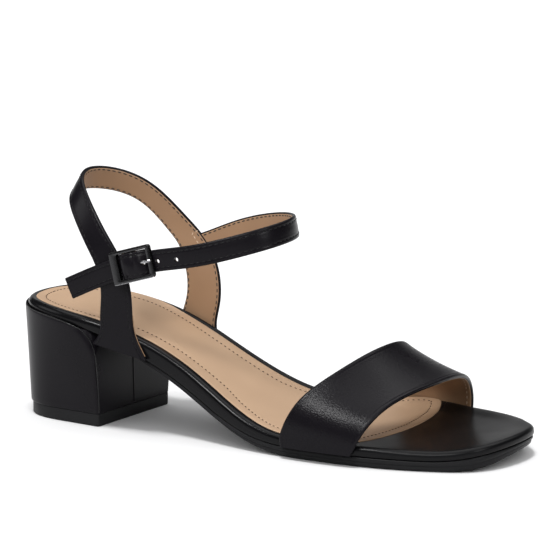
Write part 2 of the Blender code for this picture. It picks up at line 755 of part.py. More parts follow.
def centre_on_floor(pieces):
    """Parents the pieces to an empty that brings the middle of their box over the origin."""
    bpy.context.view_layer.update()
    graph = bpy.context.evaluated_depsgraph_get()
    corners = []
    for piece in pieces:
        mesh = piece.evaluated_get(graph).data
        corners += [vertex.co[:] for vertex in mesh.vertices]
    low, high = np.min(corners, axis=0), np.max(corners, axis=0)
    root = bpy.data.objects.new("sandal", None)
    bpy.context.scene.collection.objects.link(root)
    root.location = (-(low[0] + high[0]) / 2, -(low[1] + high[1]) / 2, 0.0)
    for piece in bpy.data.objects:
        if piece is not root:
            piece.parent = root


def build():
    for left_over in list(bpy.data.objects):
        bpy.data.objects.remove(left_over)
    leather = make_material("black_leather", (0.012, 0.012, 0.013), 0.42)
    lining = make_material("beige_lining", (0.60, 0.42, 0.28), 0.6)
    rubber = make_material("black_rubber", (0.015, 0.015, 0.016), 0.6)
    metal = make_material("gunmetal", (0.10, 0.10, 0.11), 0.3, 1.0)
    pieces = [
        make_outsole(rubber),
        make_footbed(leather),
        make_sock(lining),
        make_heel(leather),
        make_top_lift(rubber),
        make_vamp(leather),
        make_quarter(leather),
        make_buckle(metal),
        make_prong(metal),
    ]
    centre_on_floor(pieces)


build()
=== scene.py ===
"""Dresses the block heel sandal: smooth leather, linings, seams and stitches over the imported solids.

Each section makes one piece of the shoe, in the order in which a shoemaker puts it together. Sizes are
in millimetres in the shoe's own frame, where x runs from the heel to the toe, the outer side is -y and
the floor is z 0.
"""

import math

import bmesh
import bpy
import numpy as np
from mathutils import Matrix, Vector


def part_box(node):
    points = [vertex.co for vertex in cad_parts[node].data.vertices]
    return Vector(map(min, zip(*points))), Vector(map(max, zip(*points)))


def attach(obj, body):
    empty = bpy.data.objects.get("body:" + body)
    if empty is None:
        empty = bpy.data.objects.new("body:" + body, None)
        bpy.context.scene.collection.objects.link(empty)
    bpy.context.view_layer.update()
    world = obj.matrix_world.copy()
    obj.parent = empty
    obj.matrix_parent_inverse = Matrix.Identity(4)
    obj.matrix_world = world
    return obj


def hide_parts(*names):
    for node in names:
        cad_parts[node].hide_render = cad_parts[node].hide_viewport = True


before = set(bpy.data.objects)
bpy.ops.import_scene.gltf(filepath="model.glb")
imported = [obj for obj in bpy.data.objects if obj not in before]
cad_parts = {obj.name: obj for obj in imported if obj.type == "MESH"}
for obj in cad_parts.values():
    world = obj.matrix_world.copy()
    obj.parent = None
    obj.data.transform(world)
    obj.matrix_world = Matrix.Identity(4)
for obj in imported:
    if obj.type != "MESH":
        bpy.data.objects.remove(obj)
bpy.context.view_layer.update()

# Outsole
# A moulded black rubber sole, glued under the footbed from the heel's breast to the toe. Its edge has
# a bead at the top and an undercut below it, and it rises off the floor at the toe.

MM = 0.001
HEEL_BACK = (0.0, 0.0)
TOE_TIP = (236.0, 6.1)
FOOTBED_WIDTHS = (
    # length, outer side, inner side
    (7.1, -19.0, 20.9),
    (29.5, -29.6, 27.1),
    (61.4, -29.9, 26.1),
    (94.4, -31.0, 24.1),
    (127.4, -38.6, 31.0),
    (158.1, -42.4, 39.7),
    (186.4, -41.4, 43.5),
    (212.4, -35.1, 37.1),
    (228.9, -23.7, 20.1),
)
RIM_PROFILE = (
    # length, height, slope
    (0.0, 52.0, -0.1),
    (30.0, 48.7, -0.12),
    (54.0, 44.4, -0.25),
    (78.0, 35.9, -0.46),
    (103.0, 22.7, -0.55),
    (128.0, 11.5, -0.27),
    (150.0, 8.9, 0.0),
    (204.0, 8.9, 0.0),
    (220.0, 10.1, 0.16),
    (236.0, 13.3, 0.22),
)
LAYERS = (
    # length, footbed, outsole
    (0.0, 3.2, 2.0),
    (40.0, 3.4, 2.0),
    (75.0, 6.4, 2.0),
    (110.0, 6.1, 2.4),
    (145.0, 4.2, 4.4),
    (208.0, 4.2, 4.4),
    (214.0, 4.2, 4.7),
    (222.0, 4.2, 5.4),
    (229.0, 4.2, 4.9),
    (236.0, 4.2, 2.8),
)
SOLE_GAP = 0.3
OUTSOLE_START = 52.4
OUTSOLE_STATIONS = 130
OUTSOLE_TOE_CROWDING = 0.75
OUTLINE_POINTS = 2400
OUTSOLE_EDGE = (
    # share of the thickness, inset from the footbed's outline
    (0.0, 0.9),
    (0.03, 0.6),
    (0.1, 0.42),
    (0.28, 0.36),
    (0.38, 0.5),
    (0.44, 0.8),
    (0.5, 1.0),
    (0.56, 0.95),
    (0.9, 1.3),
    (1.0, 1.9),
)

# The shoe's frame is found from the buckle's solid, whose middle and outer face are known in it
BUCKLE_SOLID_MIDDLE = 67.0
BUCKLE_SOLID_FACE = -36.1
buckle_low, buckle_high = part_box("buckle_frame")
origin_x = (buckle_low[0] + buckle_high[0]) / 2 - BUCKLE_SOLID_MIDDLE * MM
shoe_origin = np.array([origin_x, buckle_low[1] - BUCKLE_SOLID_FACE * MM, 0.0])


def natural_spline(knots, values):
    """A curve through the rows of a table, with no bend at its ends."""
    knots = np.asarray(knots, float)
    values = np.asarray(values, float).reshape(len(knots), -1)
    spans = np.diff(knots)
    slopes = np.diff(values, axis=0) / spans[:, None]
    system = np.eye(len(knots))
    target = np.zeros_like(values)
    for row in range(1, len(knots) - 1):
        before, after = spans[row - 1], spans[row]
        system[row, row - 1 : row + 2] = before, 2 * (before + after), after
        target[row] = 6 * (slopes[row] - slopes[row - 1])
    bends = np.linalg.solve(system, target)

    def curve(at):
        at = np.atleast_1d(np.asarray(at, float))
        low = np.clip(np.searchsorted(knots, at) - 1, 0, len(spans) - 1)
        span = spans[low][:, None]
        right = (at - knots[low])[:, None] / span
        left = 1 - right
        straight = left * values[low] + right * values[low + 1]
        bend = (left**3 - left) * bends[low] + (right**3 - right) * bends[low + 1]
        return straight + bend * span**2 / 6

    return curve


def chord_knots(points):
    """Knots for a spline through points, spaced by the root of the distance between them."""
    steps = np.linalg.norm(np.diff(np.asarray(points, float), axis=0), axis=1)
    return np.concatenate([[0.0], np.cumsum(np.sqrt(steps))])


def rim_height(x):
    """Height of the footbed's rim at each length: cubic pieces with the table's heights and slopes."""
    rows = np.array(RIM_PROFILE)
    x = np.asarray(x, float)
    low = np.clip(np.searchsorted(rows[:, 0], x) - 1, 0, len(rows) - 2)
    start, end = rows[low], rows[low + 1]
    span = end[..., 0] - start[..., 0]
    t = (x - start[..., 0]) / span
    rise = (2 * t**3 - 3 * t**2 + 1) * start[..., 1] + (3 * t**2 - 2 * t**3) * end[..., 1]
    lean = (t**3 - 2 * t**2 + t) * start[..., 2] + (t**3 - t**2) * end[..., 2]
    return rise + span * lean


def rim_slope(x):
    step = 0.05
    return (rim_height(x + step) - rim_height(x - step)) / (2 * step)


def column_at(table, x, column=1):
    """One column of a table at each length, in straight lines from row to row."""
    rows = np.array(table)
    return np.interp(x, rows[:, 0], rows[:, column])


def layer_thickness(x, column):
    return column_at(LAYERS, x, column)


def on_sole(plan, depth):
    """Points in plan brought to a depth below the rim, square to the rim where it falls."""
    slope = np.minimum(rim_slope(plan[:, 0]), 0.0)
    length = np.sqrt(1 + slope**2)
    x = plan[:, 0] + depth * slope / length
    z = rim_height(plan[:, 0]) - depth / length
    return np.column_stack([x, plan[:, 1], z])


def footbed_sides():
    """The outer and the inner side of the footbed's outline, each a dense line from heel to toe."""
    outer = [(x, y) for x, y, _ in FOOTBED_WIDTHS]
    inner = [(x, y) for x, _, y in reversed(FOOTBED_WIDTHS)]
    loop = [HEEL_BACK] + outer + [TOE_TIP] + inner
    wrap = 4
    points = loop[-wrap:] + loop + loop[: wrap + 1]
    knots = chord_knots(points)
    at = np.linspace(knots[wrap], knots[wrap + len(loop)], OUTLINE_POINTS)
    dense = natural_spline(knots, points)(at)
    dense = np.roll(dense[:-1], -int(dense[:-1, 0].argmin()), axis=0)
    tip = int(dense[:, 0].argmax())
    return dense[: tip + 1], np.vstack([dense[tip:], dense[:1]])[::-1]


OUTER_SIDE, INNER_SIDE = footbed_sides()


def side_y(side, x):
    return np.interp(x, side[:, 0], side[:, 1])


def unit(vectors):
    return vectors / np.linalg.norm(vectors, axis=-1, keepdims=True)


def inset_ring(ring, inset):
    along = unit(np.roll(ring, -1, axis=0) - np.roll(ring, 1, axis=0))
    return ring + np.column_stack([-along[:, 1], along[:, 0]]) * inset


HEEL_TURN = math.radians(-8.1)
HEEL_CENTRE = (27.0, 0.0)


def breast_lengths(own_x):
    """Length from the heel at which the heel's breast line meets the outer and the inner side."""
    cut = []
    for side in (OUTER_SIDE, INNER_SIDE):
        along = HEEL_CENTRE[0] + (side - HEEL_CENTRE) @ [math.cos(HEEL_TURN), math.sin(HEEL_TURN)]
        cut.append(float(side[int((along > own_x).argmax()), 0]))
    return cut


def outsole_ring(inset):
    """Ring in plan from the heel's breast round the toe and back, open along the breast."""
    starts = breast_lengths(OUTSOLE_START)
    toe = OUTER_SIDE[-1, 0]
    turn = np.linspace(0, 1, OUTSOLE_STATIONS + 1)[:-1]
    share = OUTSOLE_TOE_CROWDING * np.sin(turn * math.pi / 2) + (1 - OUTSOLE_TOE_CROWDING) * turn
    outer_x = starts[0] + (toe - starts[0]) * share
    inner_x = starts[1] + (toe - starts[1]) * share
    outer = np.column_stack([outer_x, side_y(OUTER_SIDE, outer_x)])
    inner = np.column_stack([inner_x, side_y(INNER_SIDE, inner_x)])
    ring = np.vstack([outer, OUTER_SIDE[-1:], inner[::-1]])
    moved = inset_ring(ring, inset)
    moved[0] = outer[0] + (0.0, inset)
    moved[-1] = inner[0] - (0.0, inset)
    return moved


def ring_faces(levels, count):
    """Faces from each ring of points to the next."""
    faces = []
    for level in range(levels - 1):
        for k in range(count):
            here, after = level * count + k, level * count + (k + 1) % count
            faces.append((here, after, after + count, here + count))
    return faces


def loft_faces(levels, count, open_back=False):
    """Faces of a closed solid through rings of points, capped by strips from side to side."""
    faces = ring_faces(levels, count)
    last = count - 1 if open_back else count
    for first in (0, (levels - 1) * count):
        for k in range(count // 2):
            strip = (k, k + 1, (last - k - 1) % count, (last - k) % count)
            faces.append(tuple(dict.fromkeys(first + corner for corner in strip)))
    return faces


def new_mesh(name, points, faces):
    """A mesh from points in the shoe's frame, with its faces turned outwards."""
    mesh = bpy.data.meshes.new(name)
    mesh.from_pydata((np.asarray(points) * MM + shoe_origin).tolist(), [], faces)
    shape = bmesh.new()
    shape.from_mesh(mesh)
    bmesh.ops.recalc_face_normals(shape, faces=shape.faces)
    shape.to_mesh(mesh)
    shape.free()
    return mesh


def shade(mesh, sharp):
    """Shades a mesh smooth, up to an angle in degrees."""
    mesh.shade_smooth()
    mesh.set_sharp_from_angle(angle=math.radians(sharp))


def make_piece(name, points, faces, material, sharp=38):
    """A piece from points in the shoe's frame, that goes with the shoe."""
    mesh = new_mesh(name, points, faces)
    shade(mesh, sharp)
    mesh.materials.append(material)
    piece = bpy.data.objects.new(name, mesh)
    bpy.context.scene.collection.objects.link(piece)
    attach(piece, "root")
    return piece


def make_loft(name, rings, material, open_back=False):
    """A closed piece through rings of points."""
    faces = loft_faces(len(rings), len(rings[0]), open_back)
    return make_piece(name, np.vstack(rings), faces, material)


def add_node(tree, kind, *values):
    """A new node in a shader, with the values given for its inputs."""
    node = tree.nodes.new(kind)
    for name, value in values:
        node.inputs[name].default_value = value
    return node


def join(tree, *wires):
    """Links outputs to inputs in a shader."""
    for source, output, target, given in wires:
        tree.links.new(source.outputs[output], target.inputs[given])


def make_grain_group():
    """Surface grain: small cells for the bump, and a slow mottle for tone and gloss."""
    group = bpy.data.node_groups.new("surface_grain", "ShaderNodeTree")
    sockets = {"INPUT": ("Cells Per Metre", "Mottle Per Metre"), "OUTPUT": ("Pebble", "Mottle")}
    for way, names in sockets.items():
        for name in names:
            group.interface.new_socket(name, in_out=way, socket_type="NodeSocketFloat")
    given = add_node(group, "NodeGroupInput")
    result = add_node(group, "NodeGroupOutput")
    place = add_node(group, "ShaderNodeTexCoord")
    stray = add_node(group, "ShaderNodeTexNoise", ("Detail", 2.0))
    bend = add_node(group, "ShaderNodeVectorMath", (1, (0.0003, 0.0003, 0.0003)))
    bend.operation = "MULTIPLY_ADD"
    cells = add_node(group, "ShaderNodeTexVoronoi")
    cells.feature = "SMOOTH_F1"
    cells.inputs["Smoothness"].default_value = 0.35
    mottle = add_node(group, "ShaderNodeTexNoise", ("Detail", 4.0))
    join(
        group,
        (place, "Object", stray, "Vector"),
        (given, "Cells Per Metre", stray, "Scale"),
        (stray, "Color", bend, 0),
        (place, "Object", bend, 2),
        (bend, "Vector", cells, "Vector"),
        (given, "Cells Per Metre", cells, "Scale"),
        (cells, "Distance", result, "Pebble"),
        (place, "Object", mottle, "Vector"),
        (given, "Mottle Per Metre", mottle, "Scale"),
        (mottle, "Fac", result, "Mottle"),
    )
    return group


surface_grain = make_grain_group()
MOTTLE_RANGE = (0.3, 0.7)


def make_finish(name, dark, light, gloss, cells, mottle, depth, metallic=0.0, specular=0.5):
    """A grained finish: two tones and two roughnesses over the mottle, and a bump from the cells."""
    material = bpy.data.materials.new(name)
    material.use_nodes = True
    tree = material.node_tree
    shader = tree.nodes["Principled BSDF"]
    shader.inputs["Metallic"].default_value = metallic
    shader.inputs["Specular IOR Level"].default_value = specular
    grain = tree.nodes.new("ShaderNodeGroup")
    grain.node_tree = surface_grain
    grain.inputs["Cells Per Metre"].default_value = cells
    grain.inputs["Mottle Per Metre"].default_value = mottle
    tone = tree.nodes.new("ShaderNodeMix")
    tone.data_type = "RGBA"
    tone.inputs["A"].default_value = (*dark, 1.0)
    tone.inputs["B"].default_value = (*light, 1.0)
    ends = zip(("From Min", "From Max", "To Min", "To Max"), (*MOTTLE_RANGE, *gloss))
    rough = add_node(tree, "ShaderNodeMapRange", *ends)
    bump = add_node(tree, "ShaderNodeBump", ("Strength", 1.0), ("Distance", depth * MM))
    join(
        tree,
        (grain, "Mottle", tone, "Factor"),
        (tone, "Result", shader, "Base Color"),
        (grain, "Mottle", rough, "Value"),
        (rough, "Result", shader, "Roughness"),
        (grain, "Pebble", bump, "Height"),
        (bump, "Normal", shader, "Normal"),
    )
    return material


rubber = make_finish(
    "black_rubber", (0.01, 0.01, 0.0107), (0.015, 0.015, 0.016),
    gloss=(0.36, 0.48), cells=1500, mottle=60, depth=0.02, specular=0.095,
)

outsole_rings = []
for share, inset in OUTSOLE_EDGE:
    ring = outsole_ring(inset)
    depth = layer_thickness(ring[:, 0], 1) + SOLE_GAP + share * layer_thickness(ring[:, 0], 2)
    outsole_rings.append(on_sole(ring, depth))
outsole = make_loft("outsole_rubber", outsole_rings, rubber, open_back=True)
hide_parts("outsole")

# Footbed
# An insole board wrapped in thin black leather, which turns over its edge and shows as a rounded rim
# all round and as the smooth floor under the toes. The wrap is lasted under the board and glued.

FOOTBED_STATIONS = 130
FOOTBED_SHOULDER = 2.0
FOOTBED_LOWER_ROUND = 0.8
FOOTBED_LIP = (
    # length, rise of the inner edge, how far it starts from the edge
    (0.0, 0.0, 4.2),
    (20.0, 0.9, 4.2),
    (60.0, 1.3, 4.2),
    (138.0, 1.3, 4.2),
    (154.0, 1.9, 10.0),
    (168.0, 2.3, 14.0),
    (180.0, 1.8, 14.0),
    (194.0, 0.7, 14.0),
    (224.0, 0.9, 14.0),
    (236.0, 0.0, 14.0),
)
FOOTBED_OUTER_RISE = (
    # length, rise of the outer edge
    (0.0, 0.0),
    (12.0, 1.0),
    (26.0, 1.35),
    (60.0, 1.1),
    (90.0, 1.2),
    (104.0, 0.9),
    (118.0, 0.4),
    (136.0, 0.0),
)
FOOTBED_OUTER_CUP = 14.0
FOOTBED_RIM_WIDTH = 2.2
DULL_TOE = (160.0, 188.0)
DULL_TOE_ROUGHER = 0.13
TOE_ROLL = 0.5
TOE_ROLL_WIDTH = 8.0
# A stretch is given by its start and its length, which is negative where it runs backwards
TOE_ROLL_STRETCH = (185.0, 15.0)
FOOTBED_FLOOR_INSETS = (18.0, 15.0, 12.0, 9.0, 6.5, 5.0, 4.2, 3.6, 3.0, 2.5)
FOOTBED_SHOULDER_ANGLES = (0, 12, 24, 36, 48, 60, 72, 90)
FOOTBED_LOWER_ANGLES = (0, 30, 60, 90)

LEATHER_TONES = (0.0042, 0.0036, 0.0048), (0.0066, 0.0057, 0.0076)
leather = make_finish(
    "black_leather", *LEATHER_TONES,
    gloss=(0.26, 0.33), cells=1600, mottle=45, depth=0.018, specular=0.11,
)
wrap_leather = make_finish(
    "wrap_leather", (0.003, 0.003, 0.0035), (0.005, 0.0049, 0.0055),
    gloss=(0.16, 0.22), cells=2100, mottle=45, depth=0.008, specular=0.13,
)


def dull_towards_toe(material):
    """Makes a finish rougher under the toes, where the wrap is stretched and buffed."""
    tree, links = material.node_tree, material.node_tree.links
    roughness = tree.nodes["Principled BSDF"].inputs["Roughness"]
    place = add_node(tree, "ShaderNodeTexCoord")
    split = add_node(tree, "ShaderNodeSeparateXYZ")
    links.new(place.outputs["Object"], split.inputs["Vector"])
    start, end = shoe_origin[0] + np.array(DULL_TOE) * MM
    ends = zip(("From Min", "From Max", "To Min", "To Max"), (start, end, 0.0, DULL_TOE_ROUGHER))
    forward = add_node(tree, "ShaderNodeMapRange", *ends)
    links.new(split.outputs["X"], forward.inputs["Value"])
    total = add_node(tree, "ShaderNodeMath")
    total.operation = "ADD"
    links.new(roughness.links[0].from_socket, total.inputs[0])
    links.new(forward.outputs["Result"], total.inputs[1])
    links.new(total.outputs["Value"], roughness)


dull_towards_toe(wrap_leather)


def footbed_ring(inset):
    """Closed ring in plan, inset from the footbed's outline: heel, outer side, toe, inner side."""
    low, high = OUTER_SIDE[0, 0], OUTER_SIDE[-1, 0]
    turn = np.linspace(0, math.pi, FOOTBED_STATIONS + 1)[1:-1]
    x = low + (high - low) * (1 - np.cos(turn)) / 2
    outer = np.column_stack([x, side_y(OUTER_SIDE, x)])
    inner = np.column_stack([x, side_y(INNER_SIDE, x)])
    ring = np.vstack([OUTER_SIDE[:1], outer, OUTER_SIDE[-1:], inner[::-1]])
    return inset_ring(ring, inset)


def ramp(x, start, span):
    """Share of the way along a stretch from a start, 0 before it and 1 after it."""
    return np.clip((x - start) / span, 0, 1)


def eased(share):
    """A share from 0 to 1 that starts and ends gently."""
    return share**2 * (3 - 2 * share)


def inner_lip(points):
    """Rise of the footbed's inner edge, where the board is cupped to hold the foot."""
    x = points[:, 0]
    start = column_at(FOOTBED_LIP, x, 2)
    inside = side_y(INNER_SIDE, x) - points[:, 1]
    return column_at(FOOTBED_LIP, x) * eased(ramp(inside, start, FOOTBED_RIM_WIDTH - start))


def outer_lip(points):
    """Rise of the footbed's outer edge from the heel to the ball, over a wider cup."""
    x = points[:, 0]
    inside = points[:, 1] - side_y(OUTER_SIDE, x)
    share = ramp(inside, FOOTBED_OUTER_CUP, FOOTBED_RIM_WIDTH - FOOTBED_OUTER_CUP)
    return column_at(FOOTBED_OUTER_RISE, x) * eased(share)


def toe_roll(plan, inset):
    """How far the floor under the toes rolls off towards its edge."""
    return TOE_ROLL * ramp(plan[:, 0], *TOE_ROLL_STRETCH) * max(0.0, 1 - inset / TOE_ROLL_WIDTH) ** 2


footbed_edge = [(inset, 0.0) for inset in FOOTBED_FLOOR_INSETS]
for turn in np.radians(FOOTBED_SHOULDER_ANGLES):
    inset, depth = FOOTBED_SHOULDER * (1 - math.sin(turn)), FOOTBED_SHOULDER * (1 - math.cos(turn))
    footbed_edge.append((inset, depth))
footbed_rings = []
for inset, depth in footbed_edge:
    plan = footbed_ring(inset)
    ring = on_sole(plan, toe_roll(plan, inset) + depth)
    ring[:, 2] += (inner_lip(ring) + outer_lip(ring)) * (1 - depth / layer_thickness(ring[:, 0], 1))
    footbed_rings.append(ring)
for turn in np.radians(FOOTBED_LOWER_ANGLES):
    ring = footbed_ring(FOOTBED_LOWER_ROUND * (1 - math.cos(turn)))
    lift = FOOTBED_LOWER_ROUND * (1 - math.sin(turn))
    footbed_rings.append(on_sole(ring, layer_thickness(ring[:, 0], 1) - lift))
footbed = make_loft("footbed_wrap", footbed_rings, wrap_leather)
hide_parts("footbed")

# Sock lining
# A beige sheet over thin foam, glued on the footbed inside its rim and rounded off behind the toes.
# A line of tan stitches runs in a shallow channel all round its edge; their dark brown colour is painted
# shade of the channel.

SOCK_INSET = 3.3
SOCK_OUTER_MARGIN = 1.0
SOCK_MARGIN_START = 12.0
SOCK_MARGIN_END = (140.0, -20.0)
SOCK_FRONT = (185.0, 9.0)
SOCK_FRONT_CURVE = 0.0049
SOCK_OUTER_CORNER = 8.0
SOCK_INNER_CORNER = 10.0
SOCK_BALL_REACH = 1.2
SOCK_BALL = (140.0, 15.0)
SOCK_UNDER_VAMP_REACH = 2.0
SOCK_UNDER_VAMP = (163.0, 9.0)
SOCK_MIDDLE_SHIFT = (130.0, 30.0)
SOCK_STATIONS = 130
SOCK_EDGE = (
    # inset from the sheet's edge, height above the footbed's rim
    (0.0, -0.2),
    (0.0, 0.1),
    (0.1, 0.22),
    (0.35, 0.3),
    (1.0, 0.34),
    (3.6, 0.34),
    (4.0, 0.29),
    (4.3, 0.16),
    (4.6, 0.29),
    (5.0, 0.36),
)
SOCK_CROWN = (
    # share of the way from the stitched edge to the middle, height above the footbed's rim
    (0.08, 0.4),
    (0.2, 0.44),
    (0.4, 0.47),
    (0.65, 0.48),
    (0.9, 0.48),
)
SOCK_UNDERSIDE = -0.2
SOCK_STITCH_INSET = 4.3
SOCK_STITCH_HEIGHT = 0.2
# Stitches are given by their length, pitch, width and height
SOCK_STITCH = (0.95, 2.3, 0.65, 0.3)
SOCK_STITCH_SPREAD = (
    # length, how much further in the stitches run on the outer side, on the inner side
    (48.0, 0.0, 0.0),
    (60.0, 4.7, 1.5),
    (80.0, 4.9, 2.8),
    (103.0, 4.4, 2.8),
    (112.0, 2.2, 2.9),
    (122.0, 0.8, 1.0),
    (132.0, 0.0, 0.0),
)
SOCK_HEEL_REACH = (
    # length, how much nearer to the inner outline the sheet is cut
    (22.0, 0.0),
    (32.0, 1.1),
    (44.0, 1.1),
    (62.0, 0.5),
    (76.0, 0.0),
)
SOCK_FOLLOW = (
    # length, how far the sheet climbs the footbed's cupped inner edge
    (22.0, 0.0),
    (32.0, 1.0),
    (46.0, 1.0),
    (78.0, 0.0),
    (126.0, 0.0),
    (142.0, 1.0),
)

STITCH_SIDES = 6
STITCH_BAR = (
    # place along the stitch, share of its width
    (-0.5, 0.35),
    (-0.36, 0.9),
    (0.0, 1.0),
    (0.36, 0.9),
    (0.5, 0.35),
)

lining = make_finish(
    "beige_lining", (0.392, 0.257, 0.158), (0.45, 0.302, 0.193),
    gloss=(0.5, 0.62), cells=1700, mottle=70, depth=0.012,
)
# The tan thread is coloured dark brown: painted shade of the channel the stitches sit in.
shaded_tan_thread = make_finish(
    "shaded_tan_thread", (0.022, 0.012, 0.008), (0.04, 0.024, 0.015),
    gloss=(0.6, 0.75), cells=3000, mottle=200, depth=0.01, specular=0.1,
)


def rounded_half(half, reach, corner):
    """Half width of the sheet, where its side runs into its rounded front."""
    return (half**-corner + reach**-corner) ** (-1 / corner)


def sock_ring():
    """The sheet's outline in plan."""
    rim = footbed_ring(SOCK_INSET)
    half = FOOTBED_STATIONS
    low = rim[0, 0]
    turn = np.linspace(0, math.pi, SOCK_STATIONS + 1)[1:-1]
    x = low + (SOCK_FRONT[0] - low) * (1 - np.cos(turn)) / 2
    outer = np.interp(x, rim[: half + 1, 0], rim[: half + 1, 1])
    inner = np.interp(x, np.append(rim[half:, 0], low)[::-1], np.append(rim[half:, 1], rim[0, 1])[::-1])
    outer += SOCK_OUTER_MARGIN * ramp(x, low, SOCK_MARGIN_START) * ramp(x, *SOCK_MARGIN_END)
    inner += column_at(SOCK_HEEL_REACH, x)
    inner += SOCK_BALL_REACH * ramp(x, *SOCK_BALL)
    inner += SOCK_UNDER_VAMP_REACH * ramp(x, *SOCK_UNDER_VAMP)
    middle = SOCK_FRONT[1] * ramp(x, *SOCK_MIDDLE_SHIFT)
    reach = np.sqrt((SOCK_FRONT[0] - x) / SOCK_FRONT_CURVE)
    outer = middle - rounded_half(middle - outer, reach, SOCK_OUTER_CORNER)
    inner = middle + rounded_half(inner - middle, reach, SOCK_INNER_CORNER)
    sides = np.column_stack([x, outer]), np.column_stack([x, inner])
    return np.vstack([rim[:1], sides[0], [SOCK_FRONT], sides[1][::-1]])


def arc_lengths(line):
    """Length along a line at each of its points."""
    return np.concatenate([[0.0], np.cumsum(np.linalg.norm(np.diff(line, axis=0), axis=1))])


def points_at(line, at):
    """Points of a line at lengths along it."""
    lengths = arc_lengths(line)
    return np.column_stack([np.interp(at, lengths, column) for column in line.T])


def evenly(line, count):
    """Points spread evenly along a line in plan or in space."""
    return points_at(line, np.linspace(0, arc_lengths(line)[-1], count))


def tube_faces(rows, sides):
    """Faces of a closed tube through rows of points, with a cap at each end."""
    caps = [tuple(range(sides)), tuple(range((rows - 1) * sides, rows * sides))]
    return caps + ring_faces(rows, sides)


def make_stitches(name, line, normals, material, slot, length=1.5, pitch=2.8, width=0.5, height=0.25):
    """A row of thread stitches along a line on a surface, each a short rounded bar."""
    count = max(2, int(round(arc_lengths(line)[-1] / pitch)) + 1)
    spots = evenly(np.column_stack([line, normals]), count)
    middles, ups = spots[:, :3], spots[:, 3:]
    ways = unit(np.gradient(middles, axis=0))
    ups = unit(ups - (ups * ways).sum(1)[:, None] * ways)
    sides = np.cross(ways, ups)
    around = np.arange(STITCH_SIDES) * 2 * math.pi / STITCH_SIDES
    bar_faces = tube_faces(len(STITCH_BAR), STITCH_SIDES)
    points, faces = [], []
    for middle, way, up, side in zip(middles, ways, ups, sides):
        first = len(points)
        for along, size in STITCH_BAR:
            for turn in around:
                across = side * math.cos(turn) * width / 2 + up * math.sin(turn) * height
                points.append(middle + way * along * length + across * size)
        faces += [tuple(first + corner for corner in face) for face in bar_faces]
    return make_piece(name, points, faces, material, sharp=60)


def on_sock(plan, height):
    """Points in plan brought to a height over the footbed, following its cupped sides."""
    points = on_sole(plan, np.full(len(plan), -height))
    points[:, 2] += inner_lip(points) * eased(column_at(SOCK_FOLLOW, points[:, 0])) + outer_lip(points)
    return points


sock_line = sock_ring()
stitch_spread = np.ones((len(sock_line), 1))
for column, stations in ((1, slice(1, SOCK_STATIONS)), (2, slice(SOCK_STATIONS + 1, None))):
    extra = column_at(SOCK_STITCH_SPREAD, sock_line[stations, 0], column)
    stitch_spread[stations, 0] += extra / SOCK_STITCH_INSET
sock_plans = [(inset_ring(sock_line, inset * stitch_spread), height) for inset, height in SOCK_EDGE]
stitched_edge = sock_plans[-1][0]
other_side = np.roll(stitched_edge[::-1], 1, axis=0)
for share, height in SOCK_CROWN:
    sock_plans.append((stitched_edge + (other_side - stitched_edge) * share / 2, height))
sock_rings = [on_sock(plan, SOCK_UNDERSIDE) for plan, _ in sock_plans[:1:-1]]
sock_rings += [on_sock(plan, height) for plan, height in sock_plans]
sock = make_loft("sock_sheet", sock_rings, lining)
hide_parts("sock_lining")

stitch_plan = inset_ring(sock_line, SOCK_STITCH_INSET * stitch_spread)
stitch_line = on_sock(stitch_plan, SOCK_STITCH_HEIGHT)
stitch_slope = np.minimum(rim_slope(stitch_plan[:, 0]), 0.0)
stitch_up = np.column_stack([-stitch_slope, 0 * stitch_slope, 1 + 0 * stitch_slope])
make_stitches("sock_stitches", stitch_line, stitch_up, shaded_tan_thread, "beige_lining", *SOCK_STITCH)

# Heel and top lift
# A moulded block covered in the upper's leather, screwed and glued under the heel seat. The cover's
# seams show as a fine bead round each side panel and a line down the breast. The lift is nailed on.

HEEL_FOOT_BACK = 2.6
HEEL_FOOT_BREAST = 50.8
HEEL_FOOT_HALF_WIDTH = 26.1
TOP_LIFT_BACK = 3.5
HEEL_BACK_ROUND = 26.0
HEEL_BACK_POWER = 2.6
HEEL_TOP_BREAST = 50.1
HEEL_TOP_PROUD = 1.4
HEEL_TOP_EDGE = (
    # inset, height over the seat
    (0.0, 0.0),
    (0.0, 0.6),
    (0.08, 0.9),
    (0.3, 1.15),
    (0.6, 1.15),
    (0.85, 0.9),
    (1.0, 0.4),
    (1.2, -0.3),
)
HEEL_LIP_FRONT = (39.0, 46.0)
HEEL_LIP_FADE = 8.0
HEEL_FOOT_EDGE = (
    # level from the heel's foot to its top, inset
    (-0.006, 0.3),
    (0.0, 0.08),
    (0.008, 0.0),
)
HEEL_WALL = (0.06, 0.96)
HEEL_WALL_RINGS = 26
HEEL_LINE_POINTS = 160
HEEL_SEAM = (0.02, 0.97)
HEEL_SEAM_OUT = 0.05
HEEL_SEAM_RADIUS = 0.32
HEEL_SEAM_POINTS = 30
TUBE_GUIDE = (0.31, 0.87, 0.38)
HEEL_CORNER_FOOT = 1.4
HEEL_CORNER_TOP = 12.0
HEEL_CORNER_FROM = 0.62
TOP_LIFT_HEIGHT = 5.5
TOP_LIFT_EDGE = (
    # height, inset
    (5.5, 0.3),
    (5.42, 0.12),
    (5.2, 0.05),
    (0.7, 0.05),
    (0.3, 0.15),
    (0.0, 0.6),
)
HEEL_SIDE_POINTS = 44
HEEL_CORNER_POINTS = 12
HEEL_BEAD_RADIUS = 0.26
HEEL_BEAD_POINTS = 90
HEEL_BEAD_RINGS = slice(3, -5)
HEEL_BEAD_INNER_SHIFT = 6.2
HEEL_BEAD_SHIFT_STRETCH = (30.0, 15.0)
HEEL_BEAD_WALL_FROM = 8.0
HEEL_BEAD_NEAREST = 6
HEEL_BEAD_SOFTENING = 0.05
HEEL_BEAD_SMOOTHINGS = 8
